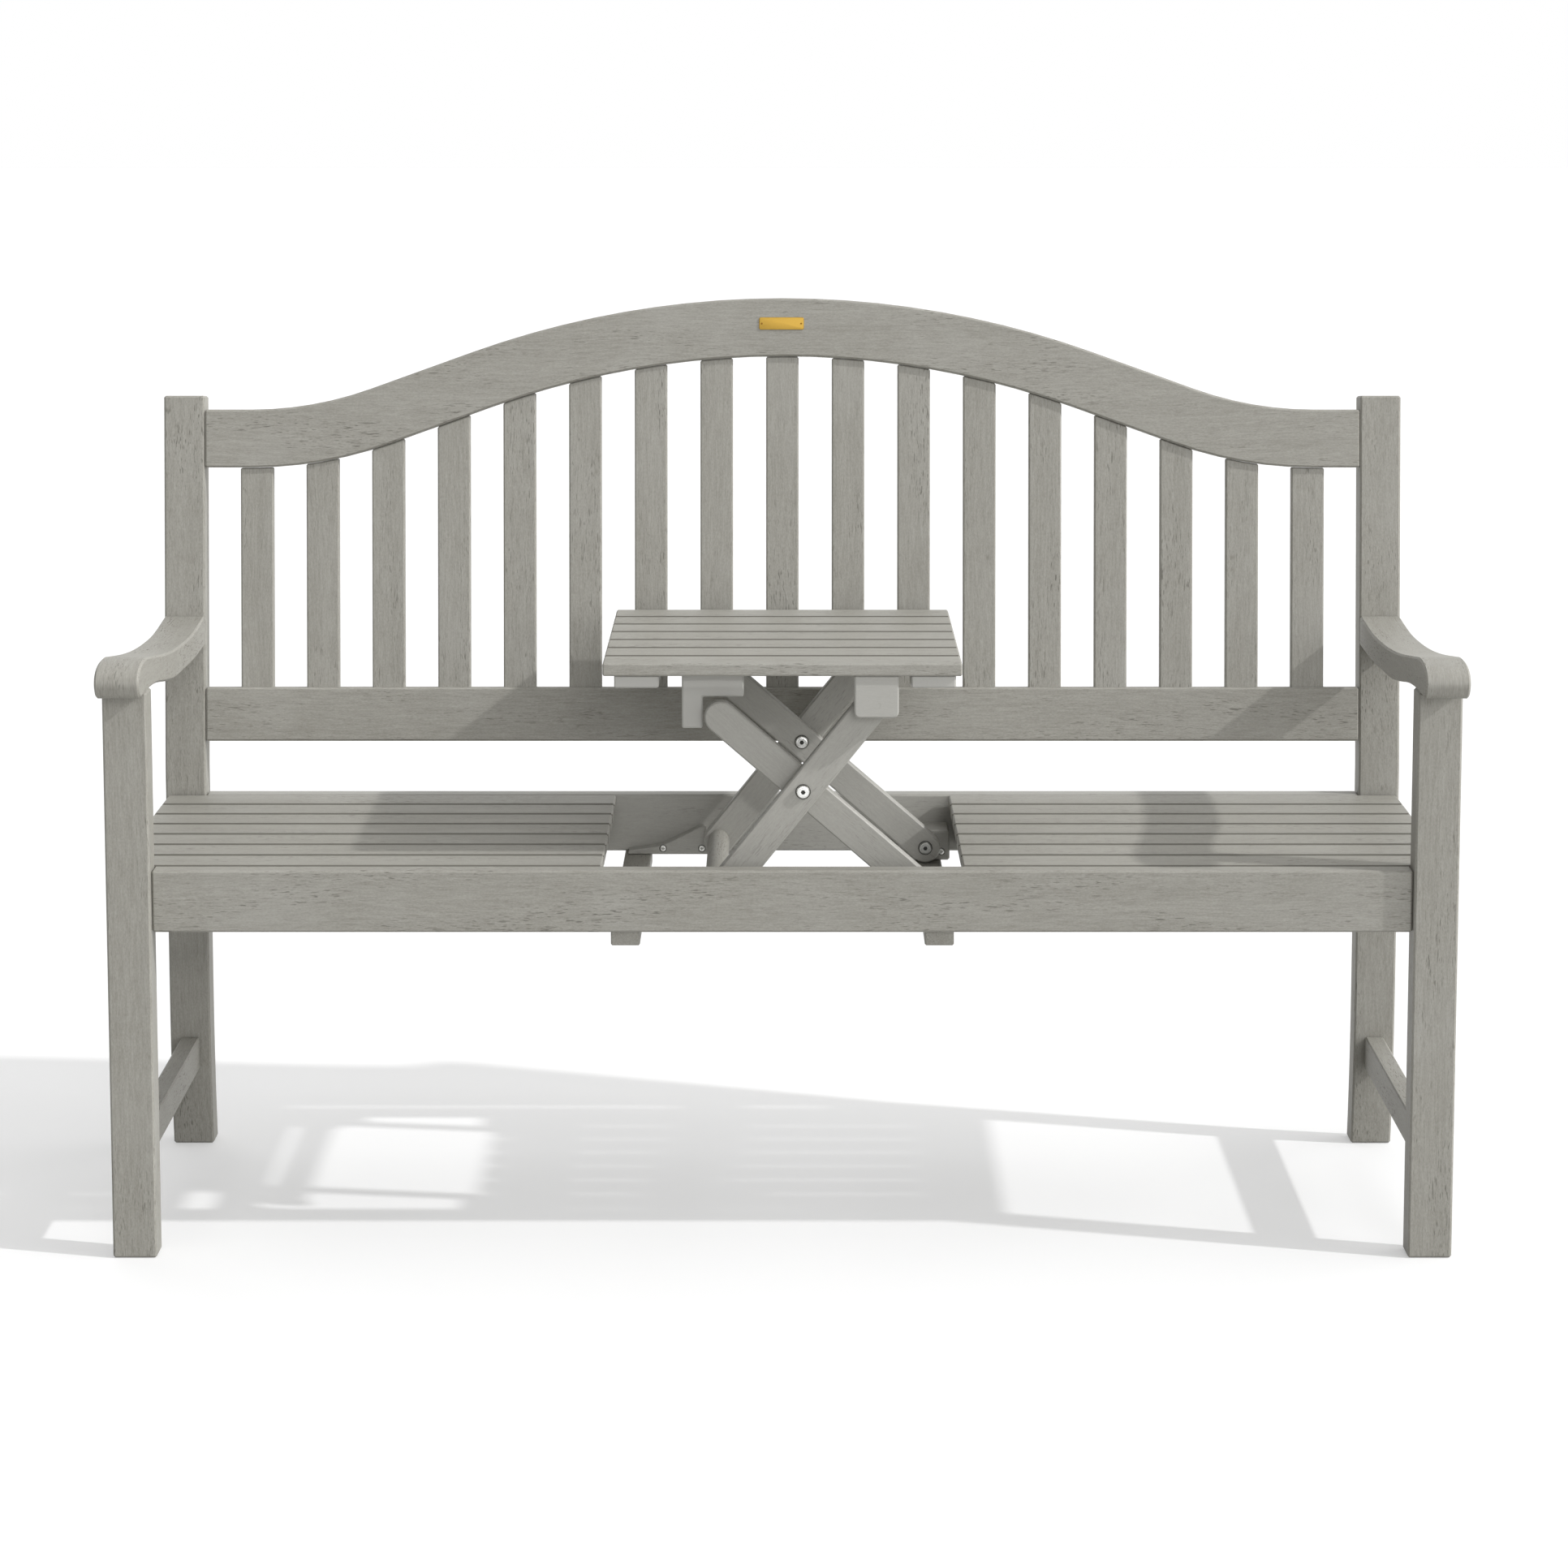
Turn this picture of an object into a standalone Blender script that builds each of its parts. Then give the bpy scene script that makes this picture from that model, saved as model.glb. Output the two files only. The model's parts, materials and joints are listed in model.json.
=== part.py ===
"""An outdoor two-seat bench of grey-washed hardwood whose middle lifts on a scissor into a small table.

Metres, +Z up, the bench facing -Y. Depths are measured back from the front faces of the front legs, and the
whole bench is moved at the end so that the middle of its footprint lies on the origin. Every sub-part is an
object of its own. The table stands at its raised height, on three joints: the inner arms turn on the base
pivots, the outer arms turn on the inner ones, and the table turns on the outer ones.
"""

import math

import bmesh
import bpy
from mathutils import Matrix, Vector

# The gap that touching faces keep, and the easing of the wooden edges.
GAP = 0.0003
EASED = 0.0022
SLAT_EASED = 0.0016

# Legs. A back leg's front face kicks back at the foot and leans back above the seat.
OVERALL_WIDTH = 1.482
LEG_WIDTH = 0.0485
FRONT_LEG_DEPTH = 0.038
BACK_LEG_DEPTH = 0.038
BACK_LEG_FRONT = 0.460
BACK_LEG_LENGTH_ABOVE_BEND = 0.4465
BEND_ABOVE_SEAT = 0.0325
LEAN = math.radians(5.9)
KICK = 0.015
KICK_HEIGHT = 0.185
KICK_STEPS = 5

# Seat.
SEAT_HEIGHT = 0.4345
RAIL_HEIGHT = 0.069
RAIL_THICKNESS = 0.025
FRONT_RAIL_SETBACK = 0.010
REAR_RAIL_THICKNESS = 0.024
SLATS_A_SIDE = 7
SLAT_THICKNESS = 0.014
SLAT_SPACING = 0.0065
FIRST_SLAT_GAP = 0.005
LAST_SLAT_GAP = 0.005
SLAT_END_INSET = 0.004
SIDE_RAIL_THICKNESS = 0.022
SIDE_RAIL_INSET = 0.014
BEARER_THICKNESS = 0.022
BEARER_HEIGHT = 0.045
BEARER_INSET = 0.010
STRETCHER_THICKNESS = 0.022
STRETCHER_HEIGHT = 0.039
STRETCHER_TOP = 0.136
CROSS_BATTEN_WIDTH = 0.032
CROSS_BATTEN_THICKNESS = 0.0172
CROSS_BATTEN_INSET = 0.0245
CROSS_BATTEN_FRONT = 0.022
CROSS_BATTEN_BACK_INSET = 0.006

# Armrests: the top as depth and height above the underside at the front leg, then the underside.
ARM_ABOVE_SEAT = 0.1995
ARM_TOP = [(0.385, 0.0085), (0.298, 0.0093), (0.215, 0.0137), (0.1345, 0.0214), (0.049, 0.0323), (0.008, 0.0371)]
ARM_NOSE = [(-0.026, 0.0350), (-0.046, 0.0275), (-0.0517, 0.0160), (-0.046, 0.0050)]
ARM_BOTTOM = [(0.0877, -0.0032), (0.158, -0.0129), (0.223, -0.0198), (0.298, -0.0222), (0.385, -0.0236)]
ARM_CHIN = 0.007
ARM_BACK_TOP = 0.0146
ARM_BACK_BOTTOM = -0.0204
ARM_CURVE_STEPS = 3

# Back: heights here are measured up the leaning plane from the bend of the back legs.
CREST_TOP = 0.5634
CREST_HEIGHT = 0.0695
CREST_THICKNESS = 0.024
CROWN_RADIUS = 1.10
CROWN_ANGLE = math.radians(19.8)
CREST_LEVEL_END = 0.0566
CREST_TURN_RADIUS = 0.42
CREST_STEPS = 10
CREST_TURN_STEPS = 6
BACK_RAIL_BOTTOM = 0.0322
BACK_RAIL_HEIGHT = 0.0643
BACK_RAIL_THICKNESS = 0.022
BACK_SLATS = 17
BACK_END_GAP = 0.0426
BACK_SLAT_WIDTH = 0.039
BACK_SLAT_THICKNESS = 0.015
BACK_SLAT_SETBACK = 0.005
BACK_SLAT_TOP_STEPS = 4
TENON = 0.012

# Table. The battens stand off its middle by different amounts, as on the bench.
TABLE_WIDTH = 0.395
TABLE_GAP = 0.002
TABLE_BATTEN_WIDTH = 0.049
TABLE_BATTEN_THICKNESS = 0.0138
TABLE_BATTEN_LEFT_INSET = 0.037
TABLE_BATTEN_RIGHT_INSET = 0.031
TABLE_BATTEN_END_INSET = 0.006
TABLE_BLOCK_WIDTH = 0.049
TABLE_BLOCK_HEIGHT = 0.047
TABLE_BLOCK_CORNER = 0.006
TABLE_BLOCK_CORNER_STEPS = 4
TABLE_BLOCK_INSET = 0.0045

# The rests, across from the round ends of the inner arms that they stand on.
REST_LEFT = -0.0433
REST_STEP = -0.0203
REST_RIGHT = 0.0257
REST_HEIGHT = 0.069
REST_STEP_HEIGHT = 0.0335

# Scissor. The arms' lengths run from the centre pivot and are shares of the table's width, which they fold under.
SCISSOR_FORWARD = 0.0025
BASE_PIVOT_INSET = 0.0281
BASE_PIVOT_DROP = 0.050
INNER_LOWER = 0.49114 * TABLE_WIDTH
INNER_UPPER = 0.30759 * TABLE_WIDTH
OUTER_LOWER = 0.39873 * TABLE_WIDTH
OUTER_UPPER = 0.32658 * TABLE_WIDTH
INNER_ANGLE = math.radians(41.0)
OUTER_ANGLE = math.radians(51.3)
FOLDED_ANGLE = math.radians(0.5)
ARM_WIDTH = 0.036
ARM_THICKNESS = 0.018
ARM_END_STEPS = 10
RUNNING_GAP = 0.0015
BLOCK_GAP = 0.0005
TABLE_BLOCK_THICKNESS = 0.023
REST_GAP = 0.001
REST_THICKNESS = 0.0235
CROSSBAR_WIDTH = 0.025
CROSSBAR_HEIGHT = 0.029
CROSSBAR_SIDES = 16
BASE_BLOCK_WIDTH = 0.059
BASE_BLOCK_HEIGHT = 0.0355
BASE_BLOCK_INSET = 0.0005

# Cleats: across from the middle of the notch, and up from the underside of the rails.
CLEAT_THICKNESS = 0.022
CLEAT_TOE_PAST_BATTEN = 0.0115
CLEAT_TOE_HEIGHT = 0.0045
CLEAT_RAMP = [(-0.0725, 0.0102), (-0.0485, 0.0203)]
CLEAT_HUMP = [(-0.0275, 0.0307), (-0.0215, 0.0328), (-0.0155, 0.0310)]
CLEAT_CURVE_STEPS = 4
CLEAT_NOTCH_START = math.radians(165)
CLEAT_NOTCH_END = math.radians(300)
CLEAT_NOTCH_STEPS = 6
CLEAT_RIGHT = 0.0305
CLEAT_LIP_WIDTH = 0.006
CLEAT_LIP_HEIGHT = 0.010

# Pivot bolts.
BOLT_DIAMETER = 0.008
BOLT_CLEARANCE = 0.0003
BOLT_HEAD_DIAMETER = 0.013
BOLT_HEAD_HEIGHT = 0.004
BOLT_HEAD_CHAMFER = 0.001
WASHER_DIAMETER = 0.017
WASHER_THICKNESS = 0.0012
COUNTERBORE_DEPTH = 0.0062
BASE_BOLT_GRIP = 0.030
TABLE_BOLT_GRIP = 0.016
BOLT_SIDES = 16
DRILL_PAST = 0.01
BOLT_HOLE = BOLT_DIAMETER + 2 * BOLT_CLEARANCE
WASHER_HOLE = WASHER_DIAMETER + 2 * BOLT_CLEARANCE

# Places that follow from the sizes above.
HALF_WIDTH = OVERALL_WIDTH / 2
LEG_INNER = HALF_WIDTH - LEG_WIDTH
LEG_X = HALF_WIDTH - LEG_WIDTH / 2
ARM_UNDERSIDE = SEAT_HEIGHT + ARM_ABOVE_SEAT
LEG_TOP = ARM_UNDERSIDE - GAP
BEND_HEIGHT = SEAT_HEIGHT + BEND_ABOVE_SEAT
RAIL_BOTTOM = SEAT_HEIGHT - RAIL_HEIGHT
FRONT_RAIL_BACK = FRONT_RAIL_SETBACK + RAIL_THICKNESS
REAR_RAIL_FRONT = BACK_LEG_FRONT
SLAT_UNDERSIDE = SEAT_HEIGHT - SLAT_THICKNESS
SLATS_FRONT = FRONT_RAIL_BACK + FIRST_SLAT_GAP
SLATS_BACK = REAR_RAIL_FRONT - LAST_SLAT_GAP
SLAT_WIDTH = (SLATS_BACK - SLATS_FRONT - (SLATS_A_SIDE - 1) * SLAT_SPACING) / SLATS_A_SIDE
SLAT_PITCH = SLAT_WIDTH + SLAT_SPACING
SEAT_SLAT_INNER = TABLE_WIDTH / 2 + TABLE_GAP
SEAT_SLAT_OUTER = HALF_WIDTH - SLAT_END_INSET
BEARER_X = SEAT_SLAT_INNER + BEARER_INSET + BEARER_THICKNESS / 2
SIDE_RAIL_X = HALF_WIDTH - SIDE_RAIL_INSET - SIDE_RAIL_THICKNESS / 2
CROSS_BATTEN_X = TABLE_WIDTH / 2 - CROSS_BATTEN_INSET
CROWN_SPAN = CROWN_RADIUS * math.sin(CROWN_ANGLE)
CREST_TURN_SPAN = CREST_TURN_RADIUS * math.sin(CROWN_ANGLE)
CREST_RUN = LEG_INNER - CREST_LEVEL_END - CROWN_SPAN - CREST_TURN_SPAN
BACK_SLAT_PITCH = (2 * (LEG_INNER - BACK_END_GAP) - BACK_SLAT_WIDTH) / (BACK_SLATS - 1)

# Depths across the scissor, all of them mirrored about its own middle plane.
SCISSOR_MIDDLE = (SLATS_FRONT + SLATS_BACK) / 2 - SCISSOR_FORWARD
TABLE_BLOCK_FRONT = SLATS_FRONT + TABLE_BLOCK_INSET
OUTER_FRONT = TABLE_BLOCK_FRONT + TABLE_BLOCK_THICKNESS + BLOCK_GAP
INNER_FRONT = OUTER_FRONT + ARM_THICKNESS + RUNNING_GAP
INNER_BACK = INNER_FRONT + ARM_THICKNESS
REST_FRONT = INNER_BACK + REST_GAP

# Places and heights on the scissor.
BASE_PIVOT_X = TABLE_WIDTH / 2 - BASE_PIVOT_INSET
BASE_PIVOT_Z = SEAT_HEIGHT - BASE_PIVOT_DROP
INNER_END_X = BASE_PIVOT_X - (INNER_LOWER + INNER_UPPER) * math.cos(INNER_ANGLE)
PIVOT_LIFT = (INNER_LOWER + OUTER_UPPER) * math.sin(FOLDED_ANGLE)
TABLE_ABOVE_PIVOT = SEAT_HEIGHT - BASE_PIVOT_Z - PIVOT_LIFT
TABLE_UNDERSIDE = TABLE_ABOVE_PIVOT - SLAT_THICKNESS


def material(name, colour, roughness, metallic=0.0):
    made = bpy.data.materials.new(name)
    made.use_nodes = True
    shader = made.node_tree.nodes["Principled BSDF"]
    shader.inputs["Base Color"].default_value = (*colour, 1)
    shader.inputs["Roughness"].default_value = roughness
    shader.inputs["Metallic"].default_value = metallic
    return made


def joint(name, parent, place, pitch=0.0):
    """An empty that its pieces hang on; pitch turns its +X up towards +Z."""
    empty = bpy.data.objects.new(name, None)
    bpy.context.collection.objects.link(empty)
    empty.parent = parent
    empty.location = place
    empty.rotation_euler = (0, -pitch, 0)
    return empty


def finish(name, bm, parent, look, place=(0, 0, 0), eased=EASED):
    """Makes the mesh an object under its parent, with its edges eased."""
    bmesh.ops.recalc_face_normals(bm, faces=bm.faces)
    mesh = bpy.data.meshes.new(name)
    bm.to_mesh(mesh)
    bm.free()
    obj = bpy.data.objects.new(name, mesh)
    bpy.context.collection.objects.link(obj)
    obj.parent = parent
    obj.location = place
    mesh.materials.append(look)
    mesh.shade_smooth()
    mesh.set_sharp_from_angle(angle=math.radians(30))
    if eased:
        bevel = obj.modifiers.new("Eased edges", "BEVEL")
        bevel.width = eased
        bevel.segments = 1
        bevel.limit_method = "ANGLE"
        bevel.angle_limit = math.radians(40)
    return obj


def board(name, low, high, parent, look, eased=EASED):
    """A straight board between two corners, its origin at its middle."""
    middle = (Vector(low) + Vector(high)) / 2
    size = Vector(high) - Vector(low)
    bm = bmesh.new()
    bmesh.ops.create_cube(bm, size=1, matrix=Matrix.Diagonal((*size, 1)))
    return finish(name, bm, parent, look, middle, eased)


def extruded(name, outline, along, start, end, parent, look, eased=EASED):
    """A board cut to an outline: (x, z) points run through depth, or (y, z) points run across the width."""
    bm = bmesh.new()
    if along == "Y":
        corners = [bm.verts.new((a, start, b)) for a, b in outline]
        push = Vector((0, end - start, 0))
    else:
        corners = [bm.verts.new((start, a, b)) for a, b in outline]
        push = Vector((end - start, 0, 0))
    made = bmesh.ops.extrude_face_region(bm, geom=[bm.faces.new(corners)])
    moved = [item for item in made["geom"] if isinstance(item, bmesh.types.BMVert)]
    bmesh.ops.translate(bm, verts=moved, vec=push)
    return finish(name, bm, parent, look, eased=eased)


def arc(centre, radius, start, end, steps):
    """Points along an arc, both ends included; angles in radians from +X."""
    angles = [start + (end - start) * i / steps for i in range(steps + 1)]
    return [(centre[0] + radius * math.cos(a), centre[1] + radius * math.sin(a)) for a in angles]


def smooth(points, steps):
    """Points on a Catmull-Rom curve through the given ones."""
    padded = [points[0], *points, points[-1]]
    curve = []
    for a, b, c, d in zip(padded, padded[1:], padded[2:], padded[3:]):
        for i in range(steps):
            t = i / steps
            weights = (
                (-t + 2 * t**2 - t**3) / 2,
                (2 - 5 * t**2 + 3 * t**3) / 2,
                (t + 4 * t**2 - 3 * t**3) / 2,
                (-(t**2) + t**3) / 2,
            )
            curve.append(tuple(sum(w * p[k] for w, p in zip(weights, (a, b, c, d))) for k in range(2)))
    return [*curve, points[-1]]


def drill(obj, x, z, low, high, diameter):
    """Bores a round hole along Y through the piece, at a place in its parent's axes."""
    bm = bmesh.new()
    turn = Matrix.Translation((x, (low + high) / 2, z)) @ Matrix.Rotation(math.pi / 2, 4, "X")
    radius = diameter / 2
    bmesh.ops.create_cone(
        bm, cap_ends=True, segments=BOLT_SIDES, radius1=radius, radius2=radius, depth=high - low, matrix=turn
    )
    cutter = finish(f"{obj.name}_cutter", bm, obj.parent, obj.data.materials[0], eased=0)
    cutter.hide_render = True
    cutter.display_type = "WIRE"
    cut = obj.modifiers.new("Bolt hole", "BOOLEAN")
    cut.object = cutter


def bolt(name, x, z, head_at, towards, grip, parent, look, washer=WASHER_DIAMETER):
    """A pivot bolt along Y with its washer and round head; towards is the way the shank points."""
    inner = BOLT_DIAMETER / 2
    head = BOLT_HEAD_DIAMETER / 2
    top = -WASHER_THICKNESS - BOLT_HEAD_HEIGHT
    profile = [
        (0, top),
        (head - BOLT_HEAD_CHAMFER, top),
        (head, top + BOLT_HEAD_CHAMFER),
        (head, -WASHER_THICKNESS),
        (washer / 2, -WASHER_THICKNESS),
        (washer / 2, 0),
        (inner, 0),
        (inner, grip),
        (0, grip),
    ]
    bm = bmesh.new()
    points = [bm.verts.new((radius, depth, 0)) for radius, depth in profile]
    edges = [bm.edges.new(pair) for pair in zip(points, points[1:])]
    bmesh.ops.spin(bm, geom=[*points, *edges], axis=(0, 1, 0), cent=(0, 0, 0), steps=BOLT_SIDES, angle=math.tau)
    bmesh.ops.remove_doubles(bm, verts=bm.verts, dist=1e-6)
    if towards < 0:
        bmesh.ops.rotate(bm, verts=bm.verts, matrix=Matrix.Rotation(math.pi, 3, "Z"))
    return finish(name, bm, parent, look, (x, head_at, z), eased=0)


def lean_offset(height):
    """How far back the front face of a back leg is at a height, from where it stands upright."""
    if height < KICK_HEIGHT:
        return KICK * (1 - height / KICK_HEIGHT) ** 2
    return max(0.0, height - BEND_HEIGHT) * math.tan(LEAN)


def mirrored(depth):
    """The depth of the same face on the rear half of the scissor."""
    return 2 * SCISSOR_MIDDLE - depth


def front_legs(frame, wood):
    for side, sign in (("left", -1), ("right", 1)):
        x = sign * LEG_X
        low = (x - LEG_WIDTH / 2, 0, 0)
        high = (x + LEG_WIDTH / 2, FRONT_LEG_DEPTH, LEG_TOP)
        board(f"front_leg_{side}", low, high, frame, wood)


def back_legs(frame, wood):
    """Each is sawn from a wide board: kicked foot, upright to the seat, leaning above."""
    heights = [KICK_HEIGHT * i / KICK_STEPS for i in range(KICK_STEPS + 1)]
    front = [(BACK_LEG_FRONT + lean_offset(z), z) for z in heights]
    rear = [(y + BACK_LEG_DEPTH, z) for y, z in front]
    half_lean = LEAN / 2
    front.append((BACK_LEG_FRONT, BEND_HEIGHT))
    rear.append((BACK_LEG_FRONT + BACK_LEG_DEPTH, BEND_HEIGHT - BACK_LEG_DEPTH * math.tan(half_lean)))
    bend = Vector((BACK_LEG_FRONT, BEND_HEIGHT))
    top = bend + BACK_LEG_LENGTH_ABOVE_BEND * Vector((math.sin(LEAN), math.cos(LEAN)))
    across = BACK_LEG_DEPTH * Vector((math.cos(LEAN), -math.sin(LEAN)))
    outline = [*front, tuple(top), tuple(top + across), *reversed(rear)]
    for side, sign in (("left", -1), ("right", 1)):
        x = sign * LEG_X
        extruded(f"back_leg_{side}", outline, "X", x - LEG_WIDTH / 2, x + LEG_WIDTH / 2, frame, wood)


def armrests(frame, wood):
    """A dipping board whose front rolls over into a rounded nose past the front leg."""

    def at_back_leg(height):
        return (BACK_LEG_FRONT + lean_offset(height) - GAP, height)

    top = [at_back_leg(ARM_UNDERSIDE + ARM_BACK_TOP)]
    top += [(y, ARM_UNDERSIDE + rise) for y, rise in ARM_TOP + ARM_NOSE]
    top.append((ARM_NOSE[-1][0] + ARM_CHIN, ARM_UNDERSIDE))
    bottom = [(FRONT_LEG_DEPTH, ARM_UNDERSIDE)]
    bottom += [(y, ARM_UNDERSIDE + rise) for y, rise in ARM_BOTTOM]
    bottom.append(at_back_leg(ARM_UNDERSIDE + ARM_BACK_BOTTOM))
    outline = smooth(top, ARM_CURVE_STEPS) + smooth(bottom, ARM_CURVE_STEPS)
    for side, sign in (("left", -1), ("right", 1)):
        x = sign * LEG_X
        extruded(f"armrest_{side}", outline, "X", x - LEG_WIDTH / 2, x + LEG_WIDTH / 2, frame, wood)


def side_boards(frame, wood):
    """The stretcher near the ground and the rail under the outer ends of the slats, on each side."""
    back = BACK_LEG_FRONT - GAP
    front = FRONT_LEG_DEPTH + GAP
    low = STRETCHER_TOP - STRETCHER_HEIGHT
    stretcher = [
        (front, low),
        (back + lean_offset(low), low),
        (back + lean_offset(STRETCHER_TOP), STRETCHER_TOP),
        (front, STRETCHER_TOP),
    ]
    for side, sign in (("left", -1), ("right", 1)):
        x = sign * LEG_X
        half = STRETCHER_THICKNESS / 2
        extruded(f"side_stretcher_{side}", stretcher, "X", x - half, x + half, frame, wood, SLAT_EASED)
        x = sign * SIDE_RAIL_X
        half = SIDE_RAIL_THICKNESS / 2
        board(
            f"side_seat_rail_{side}",
            (x - half, front, RAIL_BOTTOM),
            (x + half, back, SLAT_UNDERSIDE - GAP),
            frame,
            wood,
            SLAT_EASED,
        )


def seat_rails(frame, wood):
    reach = LEG_INNER - GAP
    board(
        "front_seat_rail",
        (-reach, FRONT_RAIL_SETBACK, RAIL_BOTTOM),
        (reach, FRONT_RAIL_BACK, SEAT_HEIGHT),
        frame,
        wood,
    )
    board(
        "rear_seat_rail",
        (-reach, REAR_RAIL_FRONT, RAIL_BOTTOM),
        (reach, REAR_RAIL_FRONT + REAR_RAIL_THICKNESS, SEAT_HEIGHT),
        frame,
        wood,
    )


def slat_depth(index):
    return SLATS_FRONT + index * SLAT_PITCH


def seat_slats(frame, wood):
    for side, sign in (("left", -1), ("right", 1)):
        inner, outer = sorted((sign * SEAT_SLAT_INNER, sign * SEAT_SLAT_OUTER))
        for i in range(SLATS_A_SIDE):
            low = (inner, slat_depth(i), SLAT_UNDERSIDE)
            high = (outer, slat_depth(i) + SLAT_WIDTH, SEAT_HEIGHT)
            board(f"seat_slat_{side}_{i + 1}", low, high, frame, wood, SLAT_EASED)


def seat_underframe(frame, wood):
    """Bearers beside the table well, and battens under both rails that tie them together."""
    for side, sign in (("left", -1), ("right", 1)):
        x = sign * BEARER_X
        half = BEARER_THICKNESS / 2
        top = SLAT_UNDERSIDE - GAP
        board(
            f"seat_bearer_{side}",
            (x - half, FRONT_RAIL_BACK + GAP, top - BEARER_HEIGHT),
            (x + half, REAR_RAIL_FRONT - GAP, top),
            frame,
            wood,
            SLAT_EASED,
        )
        x = sign * CROSS_BATTEN_X
        half = CROSS_BATTEN_WIDTH / 2
        top = RAIL_BOTTOM - GAP
        board(
            f"cross_batten_{side}",
            (x - half, CROSS_BATTEN_FRONT, top - CROSS_BATTEN_THICKNESS),
            (x + half, REAR_RAIL_FRONT + REAR_RAIL_THICKNESS - CROSS_BATTEN_BACK_INSET, top),
            frame,
            wood,
            SLAT_EASED,
        )


def crest_edge(offset):
    """The right half of the crest's outline, offset below the top edge: crown, straight run, turn, level end."""
    crown_centre = (0, CREST_TOP - CROWN_RADIUS)
    crown = arc(crown_centre, CROWN_RADIUS - offset, math.pi / 2, math.pi / 2 - CROWN_ANGLE, CREST_STEPS)
    slope = Vector((math.cos(CROWN_ANGLE), -math.sin(CROWN_ANGLE)))
    normal = Vector((math.sin(CROWN_ANGLE), math.cos(CROWN_ANGLE)))
    run_start = Vector(crown_centre) + CROWN_RADIUS * normal
    run_end = run_start + CREST_RUN / math.cos(CROWN_ANGLE) * slope
    turn_centre = run_end + CREST_TURN_RADIUS * normal
    down = -math.pi / 2
    turn = arc(turn_centre, CREST_TURN_RADIUS + offset, down - CROWN_ANGLE, down, CREST_TURN_STEPS)
    end = (LEG_INNER - GAP, turn[-1][1])
    return [*crown, *turn, end]


def height_under_crest(x):
    """The height of the crest's underside at a distance from the middle, on its faceted edge."""
    edge = crest_edge(CREST_HEIGHT)
    for (x0, z0), (x1, z1) in zip(edge, edge[1:]):
        if abs(x) <= x1:
            return z0 + (z1 - z0) * (abs(x) - x0) / (x1 - x0)
    return edge[-1][1]


def back(leaning, wood):
    """The arched crest rail, and the lower rail with the slats that stand in it up to the crest's underside."""
    top = crest_edge(0)
    bottom = crest_edge(CREST_HEIGHT)
    left_top = [(-x, z) for x, z in reversed(top[1:])]
    left_bottom = [(-x, z) for x, z in bottom[1:]]
    outline = [*left_top, *top, *reversed(bottom), *left_bottom]
    extruded("crest_rail", outline, "Y", 0, CREST_THICKNESS, leaning, wood)
    reach = LEG_INNER - GAP
    rail_top = BACK_RAIL_BOTTOM + BACK_RAIL_HEIGHT
    panel = board(
        "back_panel",
        (-reach, 0, BACK_RAIL_BOTTOM),
        (reach, BACK_RAIL_THICKNESS, rail_top),
        leaning,
        wood,
    )
    for i in range(BACK_SLATS):
        middle = (i - (BACK_SLATS - 1) / 2) * BACK_SLAT_PITCH
        shares = [step / BACK_SLAT_TOP_STEPS - 0.5 for step in range(BACK_SLAT_TOP_STEPS + 1)]
        edges = [middle + BACK_SLAT_WIDTH * share for share in shares]
        outline = [(edges[0], rail_top - TENON), (edges[-1], rail_top - TENON)]
        outline += [(x, height_under_crest(x) - GAP) for x in reversed(edges)]
        end = BACK_SLAT_SETBACK + BACK_SLAT_THICKNESS
        slat = extruded(f"back_slat_{i + 1:02}", outline, "Y", BACK_SLAT_SETBACK, end, leaning, wood, SLAT_EASED)
        slat.hide_render = True
        slat.display_type = "WIRE"
        glue = panel.modifiers.new(f"Slat {i + 1}", "BOOLEAN")
        glue.operation = "UNION"
        glue.object = slat


def cleats(frame, wood):
    """Blocks on the rails beside the scissor, each with a long ramp, a hump and a notch for the arm's end."""
    foot = RAIL_BOTTOM + GAP
    inner_sin = math.sin(INNER_ANGLE)
    notch_x = BASE_PIVOT_X - INNER_LOWER * math.cos(INNER_ANGLE) - OUTER_LOWER * math.cos(OUTER_ANGLE)
    notch_z = BASE_PIVOT_Z + INNER_LOWER * inner_sin - OUTER_LOWER * math.sin(OUTER_ANGLE)
    notch = arc((notch_x, notch_z), ARM_WIDTH / 2, CLEAT_NOTCH_START, CLEAT_NOTCH_END, CLEAT_NOTCH_STEPS)
    toe = (-CROSS_BATTEN_X - CLEAT_TOE_PAST_BATTEN, RAIL_BOTTOM + CLEAT_TOE_HEIGHT)
    climb = [(notch_x + x, RAIL_BOTTOM + z) for x, z in CLEAT_RAMP + CLEAT_HUMP]
    ramp = smooth([toe, *climb], CLEAT_CURVE_STEPS)
    right = notch_x + CLEAT_RIGHT
    lip = [(right - CLEAT_LIP_WIDTH, notch[-1][1]), (right, RAIL_BOTTOM + CLEAT_LIP_HEIGHT)]
    outline = [*ramp, *notch, *lip, (right, foot), (ramp[0][0], foot)]
    front = FRONT_RAIL_BACK + GAP
    rear = REAR_RAIL_FRONT - GAP
    extruded("cleat_front", outline, "Y", front, front + CLEAT_THICKNESS, frame, wood, SLAT_EASED)
    extruded("cleat_rear", outline, "Y", rear - CLEAT_THICKNESS, rear, frame, wood, SLAT_EASED)


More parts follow.
